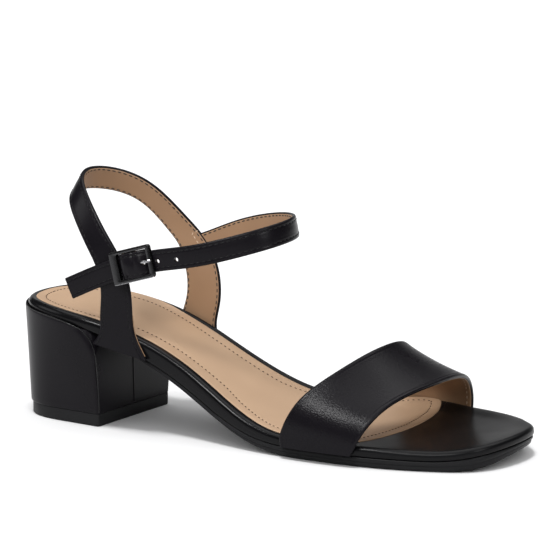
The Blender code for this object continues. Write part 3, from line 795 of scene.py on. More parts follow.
HEEL_BEAD = (
    # length and height of the bead round the outer panel
    (6.0, 48.9),
    (13.0, 48.3),
    (21.0, 47.6),
    (29.1, 46.4),
    (36.2, 44.7),
    (40.6, 42.4),
    (44.3, 37.6),
    (46.0, 31.9),
    (46.7, 21.3),
    (46.9, 6.2),
)


def turned(points):
    """Points of the heel's own plan, turned about the heel's centre into the shoe's plan."""
    offset = np.asarray(points, float) - HEEL_CENTRE
    cos, sin = math.cos(HEEL_TURN), math.sin(HEEL_TURN)
    return HEEL_CENTRE + offset @ np.array([[cos, sin], [-sin, cos]])


def heel_foot_side(sign, count, back):
    """One side of the heel's foot in plan, from the middle of its back to its breast corner."""
    round_end = back + HEEL_BACK_ROUND
    angle = np.linspace(0, math.pi / 2, count)
    x = np.append(round_end - HEEL_BACK_ROUND * np.cos(angle) ** (2 / HEEL_BACK_POWER), HEEL_FOOT_BREAST)
    y = np.append(HEEL_FOOT_HALF_WIDTH * np.sin(angle) ** (2 / HEEL_BACK_POWER), HEEL_FOOT_HALF_WIDTH)
    return turned(np.column_stack([x, sign * y]))


def heel_top_side(side, sign):
    """One side of the heel's top in plan: the footbed's outline, a little outside it, to the breast."""
    along = unit(np.gradient(side, axis=0))
    line = side + sign * np.column_stack([-along[:, 1], along[:, 0]]) * HEEL_TOP_PROUD
    own_x = HEEL_CENTRE[0] + (line - HEEL_CENTRE) @ [math.cos(HEEL_TURN), math.sin(HEEL_TURN)]
    line = line[: int((own_x > HEEL_TOP_BREAST).argmax())]
    line[0, 1] = 0.0
    return line


def breast_middle(level):
    """Middle of the heel's breast in plan, at a level from the heel's foot to its top."""
    return turned([(HEEL_FOOT_BREAST + (HEEL_TOP_BREAST - HEEL_FOOT_BREAST) * level, 0.0)])[0]


def half_heel(level, side, sign, inset, back):
    """One side of the heel in plan, at a level from its foot to its top, to the breast's middle."""
    foot = evenly(heel_foot_side(sign, HEEL_LINE_POINTS, back), HEEL_LINE_POINTS)
    line = foot + (evenly(heel_top_side(side, sign), HEEL_LINE_POINTS) - foot) * level
    corner = line[-1]
    middle = breast_middle(level)
    grown = max(0.0, (level - HEEL_CORNER_FROM) / (1 - HEEL_CORNER_FROM))
    reach = HEEL_CORNER_FOOT + (HEEL_CORNER_TOP - HEEL_CORNER_FOOT) * grown**2
    points = points_at(line, (arc_lengths(line)[-1] - reach) * np.linspace(0, 1, HEEL_SIDE_POINTS))
    t = np.linspace(0, 1, HEEL_CORNER_POINTS)[1:, None]
    end = corner + unit(middle - corner) * reach
    bend = (1 - t) ** 2 * points[-1] + 2 * t * (1 - t) * corner + t**2 * end
    half = np.vstack([points, bend, middle])
    return half - unit(half - np.array(HEEL_CENTRE)) * inset


def heel_ring(level, inset=0.0, back=HEEL_FOOT_BACK):
    outer = half_heel(level, OUTER_SIDE, -1, inset, back)
    inner = half_heel(level, INNER_SIDE, 1, inset, back)
    return np.vstack([outer, inner[1:-1][::-1]])


def under_footbed(x):
    """Height of the heel's seat, just below the footbed."""
    return rim_height(x) - (layer_thickness(x, 1) + SOLE_GAP) * np.sqrt(1 + rim_slope(x) ** 2)


heel_foot = TOP_LIFT_HEIGHT + SOLE_GAP


def heel_height(x, level):
    """Height of the heel's wall at a level from its foot to its seat."""
    return heel_foot + (under_footbed(x) - heel_foot) * level


heel_rings = []
heel_wall = [(level, 0.0) for level in np.linspace(*HEEL_WALL, HEEL_WALL_RINGS)]
for level, inset in (*HEEL_FOOT_EDGE, *heel_wall):
    plan = heel_ring(level, inset)
    heel_rings.append(np.column_stack([plan, heel_height(plan[:, 0], level)]))
for inset, rise in HEEL_TOP_EDGE:
    plan = heel_ring(1.0, inset)
    front = np.where(plan[:, 1] < 0, *HEEL_LIP_FRONT)
    lip = ramp(plan[:, 0], front, -HEEL_LIP_FADE)
    edge = rise * lip if rise > 0 else rise + 0 * lip
    heel_rings.append(np.column_stack([plan, under_footbed(plan[:, 0]) + edge]))
heel = make_loft("heel_cover", heel_rings, leather)
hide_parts("heel_block")


def make_tube(name, line, radius, material, sides=8):
    """A thin round bead along a line in space."""
    ways = unit(np.gradient(line, axis=0))
    first = unit(np.cross(ways, TUBE_GUIDE))
    second = np.cross(ways, first)
    turn = (2 * math.pi * np.arange(sides) / sides)[:, None]
    points = line[:, None] + radius * (np.cos(turn) * first[:, None] + np.sin(turn) * second[:, None])
    faces = tube_faces(len(line), sides)
    return make_piece(name, points.reshape(-1, 3), faces, material, sharp=60)


bead_leather = make_finish(
    "bead_leather", (0.004, 0.004, 0.0045), (0.006, 0.006, 0.0065),
    gloss=(0.2, 0.27), cells=2100, mottle=45, depth=0.01, specular=0.32,
)
heel_points = np.vstack(heel_rings[HEEL_BEAD_RINGS])
bead_knots = chord_knots(HEEL_BEAD)
bead_at = np.linspace(bead_knots[0], bead_knots[-1], HEEL_BEAD_POINTS)
bead_curve = natural_spline(bead_knots, HEEL_BEAD)(bead_at)
for side_name, sign, shift in (("outer", -1, 0.0), ("inner", 1, HEEL_BEAD_INNER_SHIFT)):
    wall = heel_points[heel_points[:, 1] * sign > HEEL_BEAD_WALL_FROM]
    bead = []
    for x, z in bead_curve:
        forward = x + shift * ramp(x, *HEEL_BEAD_SHIFT_STRETCH)
        distance = (wall[:, 0] - forward) ** 2 + (wall[:, 2] - z) ** 2
        nearest = np.argsort(distance)[:HEEL_BEAD_NEAREST]
        weight = 1 / (distance[nearest] + HEEL_BEAD_SOFTENING)
        bead.append((forward, float((wall[nearest, 1] * weight).sum() / weight.sum()), z))
    bead = np.array(bead)
    for _ in range(HEEL_BEAD_SMOOTHINGS):
        bead[1:-1] = (bead[:-2] + 2 * bead[1:-1] + bead[2:]) / 4
    make_tube(f"heel_bead_{side_name}", bead, HEEL_BEAD_RADIUS, bead_leather)

seam = []
for level in np.linspace(*HEEL_SEAM, HEEL_SEAM_POINTS):
    x, y = breast_middle(level)
    seam.append((x + HEEL_SEAM_OUT, y, heel_height(x, level)))
make_tube("heel_breast_seam", np.array(seam), HEEL_SEAM_RADIUS, leather)

lift_rings = []
for height, inset in TOP_LIFT_EDGE:
    plan = heel_ring(0.0, inset, TOP_LIFT_BACK)
    lift_rings.append(np.column_stack([plan, np.full(len(plan), height)]))
lift = make_loft("top_lift_rubber", lift_rings, rubber)
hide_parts("top_lift")

# Vamp strap
# A wide band of black leather over the toes, lined in beige. Its edges are folded over and topstitched
# on the inside, and its ends are lasted under between the footbed and the outsole.

VAMP_THICKNESS = 1.8
VAMP_POWER = 2.3
VAMP_FOOT = 5.0
VAMP_CROWN_BACK = 34.2
VAMP_CROWN_FRONT = 20.4
VAMP_DIP = 1.9
VAMP_ROLL = 0.7
VAMP_ROLL_MIDDLE = 28.0
VAMP_ROLL_SPREAD = 16.0
VAMP_ROLL_START = 6.0
VAMP_ROLL_FADE = 1.3
VAMP_WIDTH = 32.0
VAMP_SEAM = 2.2
VAMP_STEPS_ACROSS = 22
VAMP_LINING_STEPS = 14
VAMP_LINING_MARGIN = 0.6
VAMP_LINING_CLEAR = 3.2
VAMP_STITCH_EDGE = 2.4
VAMP_STITCH_HEIGHT = 0.2
VAMP_STITCH_ENDS = 6
VAMP_EDGES = (
    # angle round the arch from the outer side, back edge, front edge
    (0.0, 141.2, 177.0),
    (30.0, 151.2, 183.2),
    (60.0, 164.6, 189.8),
    (90.0, 171.2, 196.2),
    (120.0, 170.0, 196.8),
    (150.0, 163.0, 194.4),
    (180.0, 158.0, 193.2),
)
VAMP_FOOT_FORWARD = (
    # at the back edge, at the front edge
    (0.5, -2.2),
    (-0.5, -0.6),
)
VAMP_ARCH_STEPS = 120
VAMP_FOOT_STEPS = 4

STRAP_SEAM = 1.75
STRAP_CLEAR = 2.8
STRAP_CROWN = 0.06
STRAP_EDGE_ANGLES = (22, 45, 68, 90)
SEAM_CREASE = (
    # distance from the seam, height over the strap's face
    (-0.4, 0.05),
    (0.0, -0.14),
    (0.4, 0.02),
)
LINING_EDGE = (
    # distance from the lining's margin, height over the strap's inner face
    (0.0, 0.2),
    (0.0, -0.1),
    (0.15, -0.24),
    (0.5, -0.28),
)
STITCH_OVER_LINING = 0.26

grained_leather = make_finish(
    "grained_leather", *LEATHER_TONES,
    gloss=(0.24, 0.31), cells=1700, mottle=45, depth=0.06, specular=0.11,
)
cream_thread = make_finish(
    "cream_thread", (0.5, 0.37, 0.26), (0.6, 0.46, 0.34),
    gloss=(0.6, 0.75), cells=3000, mottle=200, depth=0.01,
)
# The straps' lining is the sock's beige leather in a slightly more saturated tone, coloured darker as
# painted shade on the straps' upright inner faces.
shaded_strap_lining = make_finish(
    "shaded_strap_lining", (0.248, 0.144, 0.079), (0.3, 0.18, 0.1),
    gloss=(0.5, 0.62), cells=1700, mottle=70, depth=0.012,
)
black_thread = make_finish(
    "black_thread", (0.005, 0.005, 0.0055), (0.008, 0.008, 0.0085),
    gloss=(0.35, 0.45), cells=3000, mottle=200, depth=0.005, specular=0.14,
)
dark_thread = make_finish(
    "dark_thread", (0.012, 0.008, 0.006), (0.022, 0.016, 0.012),
    gloss=(0.55, 0.7), cells=3000, mottle=200, depth=0.01,
)


def vamp_surface(shares):
    """Points of the band's middle surface: a row for each step over the toes, from back to front."""
    rows = np.array(VAMP_EDGES)
    angle = np.linspace(0, 180, VAMP_ARCH_STEPS + 1)
    edges = natural_spline(rows[:, 0], rows[:, 1:])(angle)
    arch = shares[VAMP_FOOT_STEPS:-VAMP_FOOT_STEPS]
    x = edges[:, :1] + (edges[:, 1:] - edges[:, :1]) * arch
    outer_x, inner_x = (back + (front - back) * arch for back, front in edges[[0, -1]])
    clear = SOLE_GAP + VAMP_THICKNESS / 2
    outer = side_y(OUTER_SIDE, outer_x) - clear
    inner = side_y(INNER_SIDE, inner_x) + clear
    crown = VAMP_CROWN_BACK + (VAMP_CROWN_FRONT - VAMP_CROWN_BACK) * arch
    cos, sin = np.cos(np.radians(angle))[:, None], np.abs(np.sin(np.radians(angle)))[:, None]
    across = -np.sign(cos) * np.abs(cos) ** (2 / VAMP_POWER)
    y = (outer + inner) / 2 + (inner - outer) / 2 * across
    base = rim_height(outer_x) + (rim_height(inner_x) - rim_height(outer_x)) * angle[:, None] / 180
    z = base + crown * sin ** (2 / VAMP_POWER) - VAMP_DIP * 4 * arch * (1 - arch) * sin**2
    into = (angle[:, None] - VAMP_ROLL_MIDDLE) / VAMP_ROLL_SPREAD
    from_foot = 1 - np.exp(-((angle[:, None] / VAMP_ROLL_START) ** 2))
    roll = -VAMP_ROLL * into * np.exp(0.5 - into**2 / 2) * from_foot * (1 - VAMP_ROLL_FADE * arch)
    y = y - roll * cos
    z = z + roll * sin
    over = np.stack([x, y, z], axis=-1)
    feet = []
    for end, (at_back, at_front) in zip((0, -1), VAMP_FOOT_FORWARD):
        last = over[end]
        down = np.linspace(0, 1, VAMP_FOOT_STEPS + 1)[1:, None]
        share = shares[end][None, :]
        x = last[:, 0] + down * (at_back + (at_front - at_back) * share)
        z = last[:, 2] + down * (VAMP_FOOT - last[:, 2])
        feet.append(np.stack([x, last[:, 1] + 0 * down, z], axis=-1))
    return np.concatenate([feet[0][::-1], over, feet[1]])


def surface_normals(surface, shares):
    """Unit normals of a strap's middle surface, on the side that faces away from the foot."""
    step = 0.004
    along = np.gradient(surface(shares), axis=0)
    across = surface(shares + step) - surface(shares - step)
    return unit(np.cross(across, along))


def strap_section(thickness, steps, seam=STRAP_SEAM):
    """Closed section of a strap: the edge that a point counts from, its distance from it, its height."""
    half = thickness / 2
    inner = [(half * (1 - math.cos(a)), half * math.sin(a)) for a in np.radians(STRAP_EDGE_ANGLES)]
    outer = inner + [(seam + along, half + height) for along, height in SEAM_CREASE]
    return [
        ("low", 0.0, 0.0),
        *[("low", d, h) for d, h in outer],
        *[("share", q, half + STRAP_CROWN * math.sin(math.pi * q)) for q in np.linspace(0, 1, steps)],
        *[("high", d, h) for d, h in outer[::-1]],
        ("high", 0.0, 0.0),
        *[("high", d, -h) for d, h in inner],
        *[("share", q, -half) for q in np.linspace(1, 0, steps)],
        *[("low", d, -h) for d, h in inner[::-1]],
    ]


def section_shares(section, widths, clear):
    """The section's places across the strap as shares of its width, for each step along it."""
    columns = []
    for kind, value, _ in section:
        if kind == "low":
            columns.append(value / widths)
        elif kind == "high":
            columns.append(1 - value / widths)
        else:
            columns.append((clear + (widths - 2 * clear) * value) / widths)
    return np.column_stack(columns)


def make_strap(name, surface, widths, section, material, clear=STRAP_CLEAR):
    """A strap or its lining: a section swept along the strap's middle surface."""
    shares = section_shares(section, widths, clear)
    heights = np.array([height for _, _, height in section])
    points = surface(shares) + surface_normals(surface, shares) * heights[None, :, None]
    return make_piece(name, points.reshape(-1, 3), tube_faces(*shares.shape), material, sharp=50)


def lining_section(thickness, margin, steps):
    """Closed section of a lining glued on a strap's inner side, inside its edges by a margin."""
    face = -thickness / 2
    edge = [(margin + along, face + height) for along, height in LINING_EDGE]
    return [
        *[("low", d, h) for d, h in edge],
        *[("share", q, face + LINING_EDGE[-1][1]) for q in np.linspace(0, 1, steps)],
        *[("high", d, h) for d, h in edge[::-1]],
        *[("share", q, face + LINING_EDGE[0][1]) for q in np.linspace(1, 0, steps)],
    ]


def strap_line(surface, widths, side, distance, height, start=0, stop=None):
    """A line along a strap at a distance from one edge, with the normals on the side that it lies on."""
    shares = distance / widths if side == "low" else 1 - distance / widths
    shares = shares[:, None]
    normals = surface_normals(surface, shares)
    line = surface(shares) + normals * height
    facing = normals * (1 if height > 0 else -1)
    return line[start:stop, 0], facing[start:stop, 0]


vamp_widths = np.full(VAMP_ARCH_STEPS + 1 + 2 * VAMP_FOOT_STEPS, VAMP_WIDTH)
vamp_section = strap_section(VAMP_THICKNESS, VAMP_STEPS_ACROSS, VAMP_SEAM)
vamp = make_strap(
    "vamp_leather", vamp_surface, vamp_widths, vamp_section, grained_leather
)
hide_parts("vamp_strap")
vamp_section = lining_section(VAMP_THICKNESS, VAMP_LINING_MARGIN, VAMP_LINING_STEPS)
make_strap(
    "vamp_lining", vamp_surface, vamp_widths, vamp_section, shaded_strap_lining,
    clear=VAMP_LINING_CLEAR,
)
vamp_inside = -VAMP_THICKNESS / 2 - STITCH_OVER_LINING
vamp_ends = VAMP_STITCH_ENDS, -VAMP_STITCH_ENDS
for edge, side in (("back", "low"), ("front", "high")):
    line, facing = strap_line(vamp_surface, vamp_widths, side, VAMP_STITCH_EDGE, vamp_inside, *vamp_ends)
    make_stitches(
        f"vamp_stitches_{edge}", line, facing, cream_thread, "beige_lining", height=VAMP_STITCH_HEIGHT
    )

# Quarter strap
# One band of lined leather: a post lasted on the outer side of the footbed, a strap round the back of
# the ankle, and a post on the inner side. Both edges are folded and topstitched through the lining.

STRAP_THICKNESS = 1.8
QUARTER_SECTIONS = (
    # middle x, y, z, width, rise of the section line from its lower edge, its heading
    (59.1, -31.4, 35.4, 26.4, -12.0, 2.0),
    (58.3, -31.4, 42.5, 18.0, -5.0, 2.0),
    (57.6, -31.3, 50.5, 15.8, -1.0, 1.0),
    (57.5, -31.2, 60.0, 14.8, 5.0, 1.0),
    (55.9, -31.1, 68.5, 13.2, 18.0, 6.0),
    (52.3, -30.6, 76.2, 11.8, 32.0, 12.0),
    (47.3, -29.8, 83.6, 11.2, 38.0, 12.0),
    (36.8, -23.8, 95.7, 11.0, 46.0, 9.0),
    (28.1, -12.7, 102.6, 11.2, 57.0, 5.0),
    (25.6, 1.0, 104.4, 11.3, 66.0, 0.0),
    (32.0, 14.6, 102.2, 11.0, 66.0, -5.0),
    (43.6, 23.2, 95.4, 11.1, 53.0, -9.0),
    (55.7, 27.3, 83.0, 11.6, 39.0, -2.0),
    (62.5, 28.2, 75.2, 12.6, 30.0, 4.0),
    (67.3, 27.9, 66.5, 15.4, 16.0, 2.0),
    (69.6, 27.5, 57.0, 17.0, 3.0, -2.0),
    (69.3, 27.2, 48.0, 17.5, -6.0, -4.0),
    (67.7, 27.0, 40.0, 18.5, -16.0, -5.0),
    (68.2, 26.9, 33.0, 23.0, -20.0, -5.0),
)
QUARTER_STEPS = 260
QUARTER_STITCH_ENDS = 4
STRAP_STEPS_ACROSS = 8
STRAP_LINING_MARGIN = 0.65
INNER_STITCH_EDGE = 1.3
OUTER_STITCH_EDGE = 1.75
OUTER_STITCH_SUNK = 0.06
INNER_STITCH = (1.7, 2.7, 0.6, 0.22)
OUTER_STITCH = (1.7, 2.7, 0.5, 0.24)
LAP_HEIGHTS = (71.5, 76.5)
LAP_SHARES = (0.93, 0.72)
LAP_END_POINTS = 8
LAP_STITCH = (1.3, 2.1, 0.45, 0.22)
POST_EDGE_ROWS = (2, 27)
POST_EDGE_HEIGHT = -0.35
POST_EDGE_RADIUS = 0.2


def strap_spine(rows, steps):
    """Middles, widths and section lines of a strap, smoothed along its length from its table."""
    rows = np.array(rows)
    knots = chord_knots(rows[:, :3])
    section = natural_spline(knots, rows)(np.linspace(knots[0], knots[-1], steps + 1))
    rise, heading = np.radians(section[:, 4]), np.radians(section[:, 5])
    flat = np.cos(rise)
    line = np.column_stack([flat * np.cos(heading), flat * np.sin(heading), np.sin(rise)])
    return section[:, :3], section[:, 3], line


def across_spine(middles, widths, lines, shares):
    """Points of a strap's middle surface at shares of its width, for each step along it."""
    reach = (shares - 0.5) * widths[:, None]
    return middles[:, None, :] + lines[:, None, :] * reach[..., None]


def cover_strap(name, surface, widths, thickness):
    """The outer leather of a narrow strap."""
    section = strap_section(thickness, STRAP_STEPS_ACROSS)
    return make_strap(f"{name}_leather", surface, widths, section, leather)


def line_strap(name, surface, widths, thickness):
    """The lining glued inside a narrow strap."""
    section = lining_section(thickness, STRAP_LINING_MARGIN, STRAP_STEPS_ACROSS)
    return make_strap(f"{name}_lining", surface, widths, section, shaded_strap_lining)


def sew_strap(name, surface, widths, thickness, ends):
    """Stitches along both edges of a narrow strap, dark ones on its lining and black ones outside."""
    inside, outside = -thickness / 2 - STITCH_OVER_LINING, thickness / 2 - OUTER_STITCH_SUNK
    for side in ("low", "high"):
        for face, edge, height, thread, slot, size in (
            ("in", INNER_STITCH_EDGE, inside, dark_thread, "beige_lining", INNER_STITCH),
            ("out", OUTER_STITCH_EDGE, outside, black_thread, "black_leather", OUTER_STITCH),
        ):
            line, facing = strap_line(surface, widths, side, edge, height, ends, -ends)
            make_stitches(f"{name}_stitches_{face}_{side}", line, facing, thread, slot, *size)


quarter_middles, quarter_widths, quarter_lines = strap_spine(QUARTER_SECTIONS, QUARTER_STEPS)


def quarter_surface(shares):
    return across_spine(quarter_middles, quarter_widths, quarter_lines, shares)


quarter = cover_strap("quarter", quarter_surface, quarter_widths, STRAP_THICKNESS)
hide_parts("quarter_strap")
line_strap("quarter", quarter_surface, quarter_widths, STRAP_THICKNESS)
sew_strap("quarter", quarter_surface, quarter_widths, STRAP_THICKNESS, QUARTER_STITCH_ENDS)

# The box of stitches that holds the ankle strap comes through to the lining
_, lap_y, lap_z = quarter_middles.T
lap_rows = np.flatnonzero((lap_y > 0) & (LAP_HEIGHTS[0] < lap_z) & (lap_z < LAP_HEIGHTS[1]))
lap_path = [(lap_rows[0], share) for share in np.linspace(*LAP_SHARES, LAP_END_POINTS)]
lap_path += [(row, LAP_SHARES[1]) for row in lap_rows[1:-1]]
lap_path += [(lap_rows[-1], share) for share in np.linspace(*LAP_SHARES[::-1], LAP_END_POINTS)]
lap_line, lap_facing = [], []
lap_depth = STRAP_THICKNESS / 2 + STITCH_OVER_LINING
for row, share in lap_path:
    shares = np.full((QUARTER_STEPS + 1, 1), share)
    normal = surface_normals(quarter_surface, shares)[row, 0]
    lap_line.append(quarter_surface(shares)[row, 0] - normal * lap_depth)
    lap_facing.append(-normal)
lap_line, lap_facing = np.array(lap_line), np.array(lap_facing)
make_stitches("quarter_stitches_lap", lap_line, lap_facing, cream_thread, "beige_lining", *LAP_STITCH)

# The lining's cut edge shows along the front of the outer post's foot
line, _ = strap_line(quarter_surface, quarter_widths, "high", 0.0, POST_EDGE_HEIGHT, *POST_EDGE_ROWS)
make_tube("post_lining_edge", line, POST_EDGE_RADIUS, shaded_strap_lining)

# Ankle strap
# A narrow lined strap, sewn to the inner post in a small box of stitches. It runs round the front of the
# ankle and through the buckle to a square-cut tail, with punched holes where it can be let out.

ANKLE_WIDTH = 9.6
ANKLE_THICKNESS = 1.6
ANKLE_SECTIONS = (
    # middle x, y, z, rise of the section line
    (62.5, 28.9, 71.6, 68.0),
    (71.0, 29.2, 74.6, 68.0),
    (86.5, 28.2, 81.0, 72.0),
    (102.3, 24.8, 85.8, 74.0),
    (116.6, 16.8, 88.8, 76.0),
    (125.8, 5.5, 90.2, 78.0),
    (128.6, -6.5, 90.3, 78.0),
    (124.8, -19.5, 88.9, 76.0),
    (112.6, -28.0, 85.2, 75.0),
    (96.0, -32.0, 80.8, 76.0),
    (80.0, -33.2, 77.8, 76.0),
    (67.0, -33.2, 74.6, 75.0),
    (53.5, -33.2, 69.8, 70.0),
    (35.7, -33.3, 61.7, 66.0),
)
ANKLE_HEADING = 180.0
ANKLE_STEPS = 360
ANKLE_STITCH_ENDS = 3
BUCKLE_MIDDLE = (67.7, -35.2, 75.1)
BUCKLE_PITCH = math.radians(16.5)
BUCKLE_LEAN = math.radians(6)
BUCKLE_HUMP_HEIGHT = 1.9
BUCKLE_HUMP_BACK = 7.0
BUCKLE_HUMP_FRONT = 8.2
BUCKLE_HUMP_FLAT = 3.2
BUCKLE_SPREAD = 2.0
BUCKLE_SPREAD_END = (9.5, -3.0)
BUCKLE_PUFF = 0.9
BUCKLE_DENT = 0.5
BUCKLE_DENT_FRONT = 1.4
BUCKLE_DENT_FRONT_WIDTH = 0.9
BUCKLE_DENT_BACK = -2.6
BUCKLE_DENT_BACK_WIDTH = 1.1
BUCKLE_DENT_SLANT = 2.0
BUCKLE_DENT_UPPER = (0.25, 0.625)
BUCKLE_DENT_LOWER = (0.875, -0.625)
STRAP_HOLE_DIAMETER = 2.0
STRAP_HOLE_SIDES = 20
STRAP_HOLE_REACH = (-40.0, -26.0)
STRAP_HOLES = ((79.4, 77.4), (88.2, 78.8), (73.2, 76.6))

ankle_rows = [(*middle, ANKLE_WIDTH, rise, ANKLE_HEADING) for *middle, rise in ANKLE_SECTIONS]
ankle_middles, ankle_widths, ankle_lines = strap_spine(ankle_rows, ANKLE_STEPS)
buckle_along = np.array([math.cos(BUCKLE_PITCH), 0.0, math.sin(BUCKLE_PITCH)])
from_buckle = np.abs((ankle_middles - BUCKLE_MIDDLE) @ buckle_along)
pressed = ramp(from_buckle, *BUCKLE_SPREAD_END) * (ankle_middles[:, 1] < 0)
ankle_widths = ANKLE_WIDTH + BUCKLE_SPREAD * eased(pressed)


def ankle_surface(shares):
    """The strap's middle surface, lifted over the buckle's middle bar by a smooth hump."""
    points = across_spine(ankle_middles, ankle_widths, ankle_lines, shares)
    distance = (points - np.array(BUCKLE_MIDDLE)) @ buckle_along
    reach = np.where(distance < 0, BUCKLE_HUMP_BACK, BUCKLE_HUMP_FRONT)
    into = ramp(np.abs(distance), BUCKLE_HUMP_FLAT, reach - BUCKLE_HUMP_FLAT)
    hump = 0.5 * (1 + np.cos(math.pi * into))
    puff = BUCKLE_PUFF * (1 - (2 * shares - 1) ** 2)
    # Two soft dents, one high in front of the middle bar and one low and aslant behind it
    front = (distance - BUCKLE_DENT_FRONT) / BUCKLE_DENT_FRONT_WIDTH
    back = (distance - BUCKLE_DENT_BACK + BUCKLE_DENT_SLANT * shares) / BUCKLE_DENT_BACK_WIDTH
    dent = np.exp(-(front**2)) * ramp(shares, *BUCKLE_DENT_UPPER)
    dent += np.exp(-(back**2)) * ramp(shares, *BUCKLE_DENT_LOWER)
    lean = (shares - 0.5) * ankle_widths[:, None] * math.sin(BUCKLE_LEAN)
    lift = (BUCKLE_HUMP_HEIGHT + puff - BUCKLE_DENT * dent - lean) * hump
    points[..., 1] -= np.where(points[..., 1] < 0, lift, 0.0)
    return points


def punch_holes(piece):
    """Cuts the punched holes through the outer side of the strap."""
    turn = np.arange(STRAP_HOLE_SIDES) * 2 * math.pi / STRAP_HOLE_SIDES
    radius = STRAP_HOLE_DIAMETER / 2
    for number, (x, z) in enumerate(STRAP_HOLES, start=1):
        ring = np.column_stack([x + radius * np.cos(turn), 0 * turn, z + radius * np.sin(turn)])
        points = np.vstack([ring + (0, y, 0) for y in STRAP_HOLE_REACH])
        mesh = new_mesh(f"punch_{number}", points, tube_faces(2, STRAP_HOLE_SIDES))
        punch = bpy.data.objects.new(f"punch_{number}", mesh)
        bpy.context.scene.collection.objects.link(punch)
        cut = piece.modifiers.new("hole", "BOOLEAN")
        cut.operation = "DIFFERENCE"
        cut.solver = "EXACT"
        cut.object = punch
        bpy.context.view_layer.update()
        graph = bpy.context.evaluated_depsgraph_get()
        holed = bpy.data.meshes.new_from_object(piece.evaluated_get(graph))
        piece.modifiers.clear()
        piece.data = holed
        bpy.data.objects.remove(punch)
    shade(piece.data, 50)


punch_holes(cover_strap("ankle", ankle_surface, ankle_widths, ANKLE_THICKNESS))
punch_holes(line_strap("ankle", ankle_surface, ankle_widths, ANKLE_THICKNESS))
sew_strap("ankle", ankle_surface, ankle_widths, ANKLE_THICKNESS, ANKLE_STITCH_ENDS)

# Buckle
# A cast zinc frame with dark plating. The strap passes under its front bar, over the middle bar and
# under the broad back bar, and the prong rests on the front bar.

BUCKLE_LENGTH = 20.6
BUCKLE_HEIGHT = 14.4
BUCKLE_THICKNESS = 1.8
BUCKLE_RAIL = 1.6
BUCKLE_BACK_BAR = 3.8
BUCKLE_FRONT_BAR = 2.1
BUCKLE_CORNER = 1.2
WINDOW_CORNER = 0.5
FRAME_OUTSIDE = (
    # how far a ring stands out from the frame's outline, its depth below the outer face
    (-0.5, 0.0),
    (-0.18, 0.12),
    (0.0, 0.5),
    (0.0, 1.8),
)
FRAME_INSIDE = (
    # how far a ring stands back from the window's outline, its depth below the outer face
    (0.0, 1.8),
    (0.0, 0.4),
    (0.14, 0.1),
    (0.4, 0.0),
)
FRAME_CORNER_STEPS = 6
# The frame's lower edge carries a painted highlight: a strip of bright steel along these rows of the
# frame.
GLINT_EDGE = slice(17, 25)
GLINT_EDGE_POINTS = 40
GLINT_EDGE_RADIUS = 0.22
MIDDLE_BAR_RADIUS = 0.65
MIDDLE_BAR_OUT = -0.9
MIDDLE_BAR_POINTS = 12
BAR_SIDES = 12
PRONG_POINTS = 40
PRONG_FLATTENED = 0.78
PRONG_LINE = (
    # along the strap, outwards, radius
    (1.1, -1.2, 0.5),
    (3.4, -0.1, 0.6),
    (5.4, 1.15, 0.68),
    (7.2, 1.85, 0.72),
    (9.0, 1.9, 0.72),
    (10.4, 1.7, 0.5),
)

gunmetal = make_finish(
    "gunmetal", (0.045, 0.045, 0.047), (0.065, 0.065, 0.067),
    gloss=(0.22, 0.32), cells=900, mottle=150, depth=0.002, metallic=1.0,
)


def in_buckle(points):
    """Points given along the strap, outwards and across it, placed on the buckle's pitch."""
    points = np.asarray(points, float)
    cos, sin = math.cos(BUCKLE_LEAN), math.sin(BUCKLE_LEAN)
    along = points[:, 0]
    out = points[:, 1] * cos - points[:, 2] * sin
    across = points[:, 2] * cos + points[:, 1] * sin
    cos, sin = math.cos(BUCKLE_PITCH), math.sin(BUCKLE_PITCH)
    placed = np.column_stack([along * cos - across * sin, -out, along * sin + across * cos])
    return placed + BUCKLE_MIDDLE


def rounded_rectangle(low, high, corner, steps):
    """Ring of an upright rectangle with round corners, anticlockwise."""
    points = []
    (left, bottom), (right, top) = low, high
    for x, y, start in ((right, top, 0), (left, top, 90), (left, bottom, 180), (right, bottom, 270)):
        for step in range(steps + 1):
            turn = math.radians(start + 90 * step / steps)
            middle = (x - math.copysign(corner, x), y - math.copysign(corner, y))
            points.append((middle[0] + corner * math.cos(turn), middle[1] + corner * math.sin(turn)))
    return np.array(points)


half_length, half_height = BUCKLE_LENGTH / 2, BUCKLE_HEIGHT / 2
window_low = np.array((-half_length + BUCKLE_BACK_BAR, -half_height + BUCKLE_RAIL))
window_high = np.array((half_length - BUCKLE_FRONT_BAR, half_height - BUCKLE_RAIL))
half_thick = BUCKLE_THICKNESS / 2
frame_high = np.array((half_length, half_height))


def frame_ring(low, high, corner, depth):
    """Ring of the frame in its own frame, at a depth below its outer face."""
    ring = rounded_rectangle(low, high, corner, FRAME_CORNER_STEPS)
    return np.column_stack([ring[:, 0], np.full(len(ring), half_thick - depth), ring[:, 1]])


frame_rings = []
for grow, depth in FRAME_OUTSIDE:
    frame_rings.append(frame_ring(-frame_high - grow, frame_high + grow, BUCKLE_CORNER + grow, depth))
for grow, depth in FRAME_INSIDE:
    frame_rings.append(frame_ring(window_low - grow, window_high + grow, WINDOW_CORNER + grow, depth))
ring_count = len(frame_rings[0])
frame_faces = []
for face in ring_faces(len(frame_rings) + 1, ring_count):
    frame_faces.append(tuple(corner % (len(frame_rings) * ring_count) for corner in face))
frame_points = in_buckle(np.vstack(frame_rings))
buckle = make_piece("buckle_metal", frame_points, frame_faces, gunmetal, sharp=40)
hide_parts("buckle_frame")

bar_reach = half_height - BUCKLE_RAIL / 2
bar_across = np.linspace(-bar_reach, bar_reach, MIDDLE_BAR_POINTS)
bar_line = in_buckle([(0.0, MIDDLE_BAR_OUT, across) for across in bar_across])
make_tube("buckle_middle_bar", bar_line, MIDDLE_BAR_RADIUS, gunmetal, BAR_SIDES)
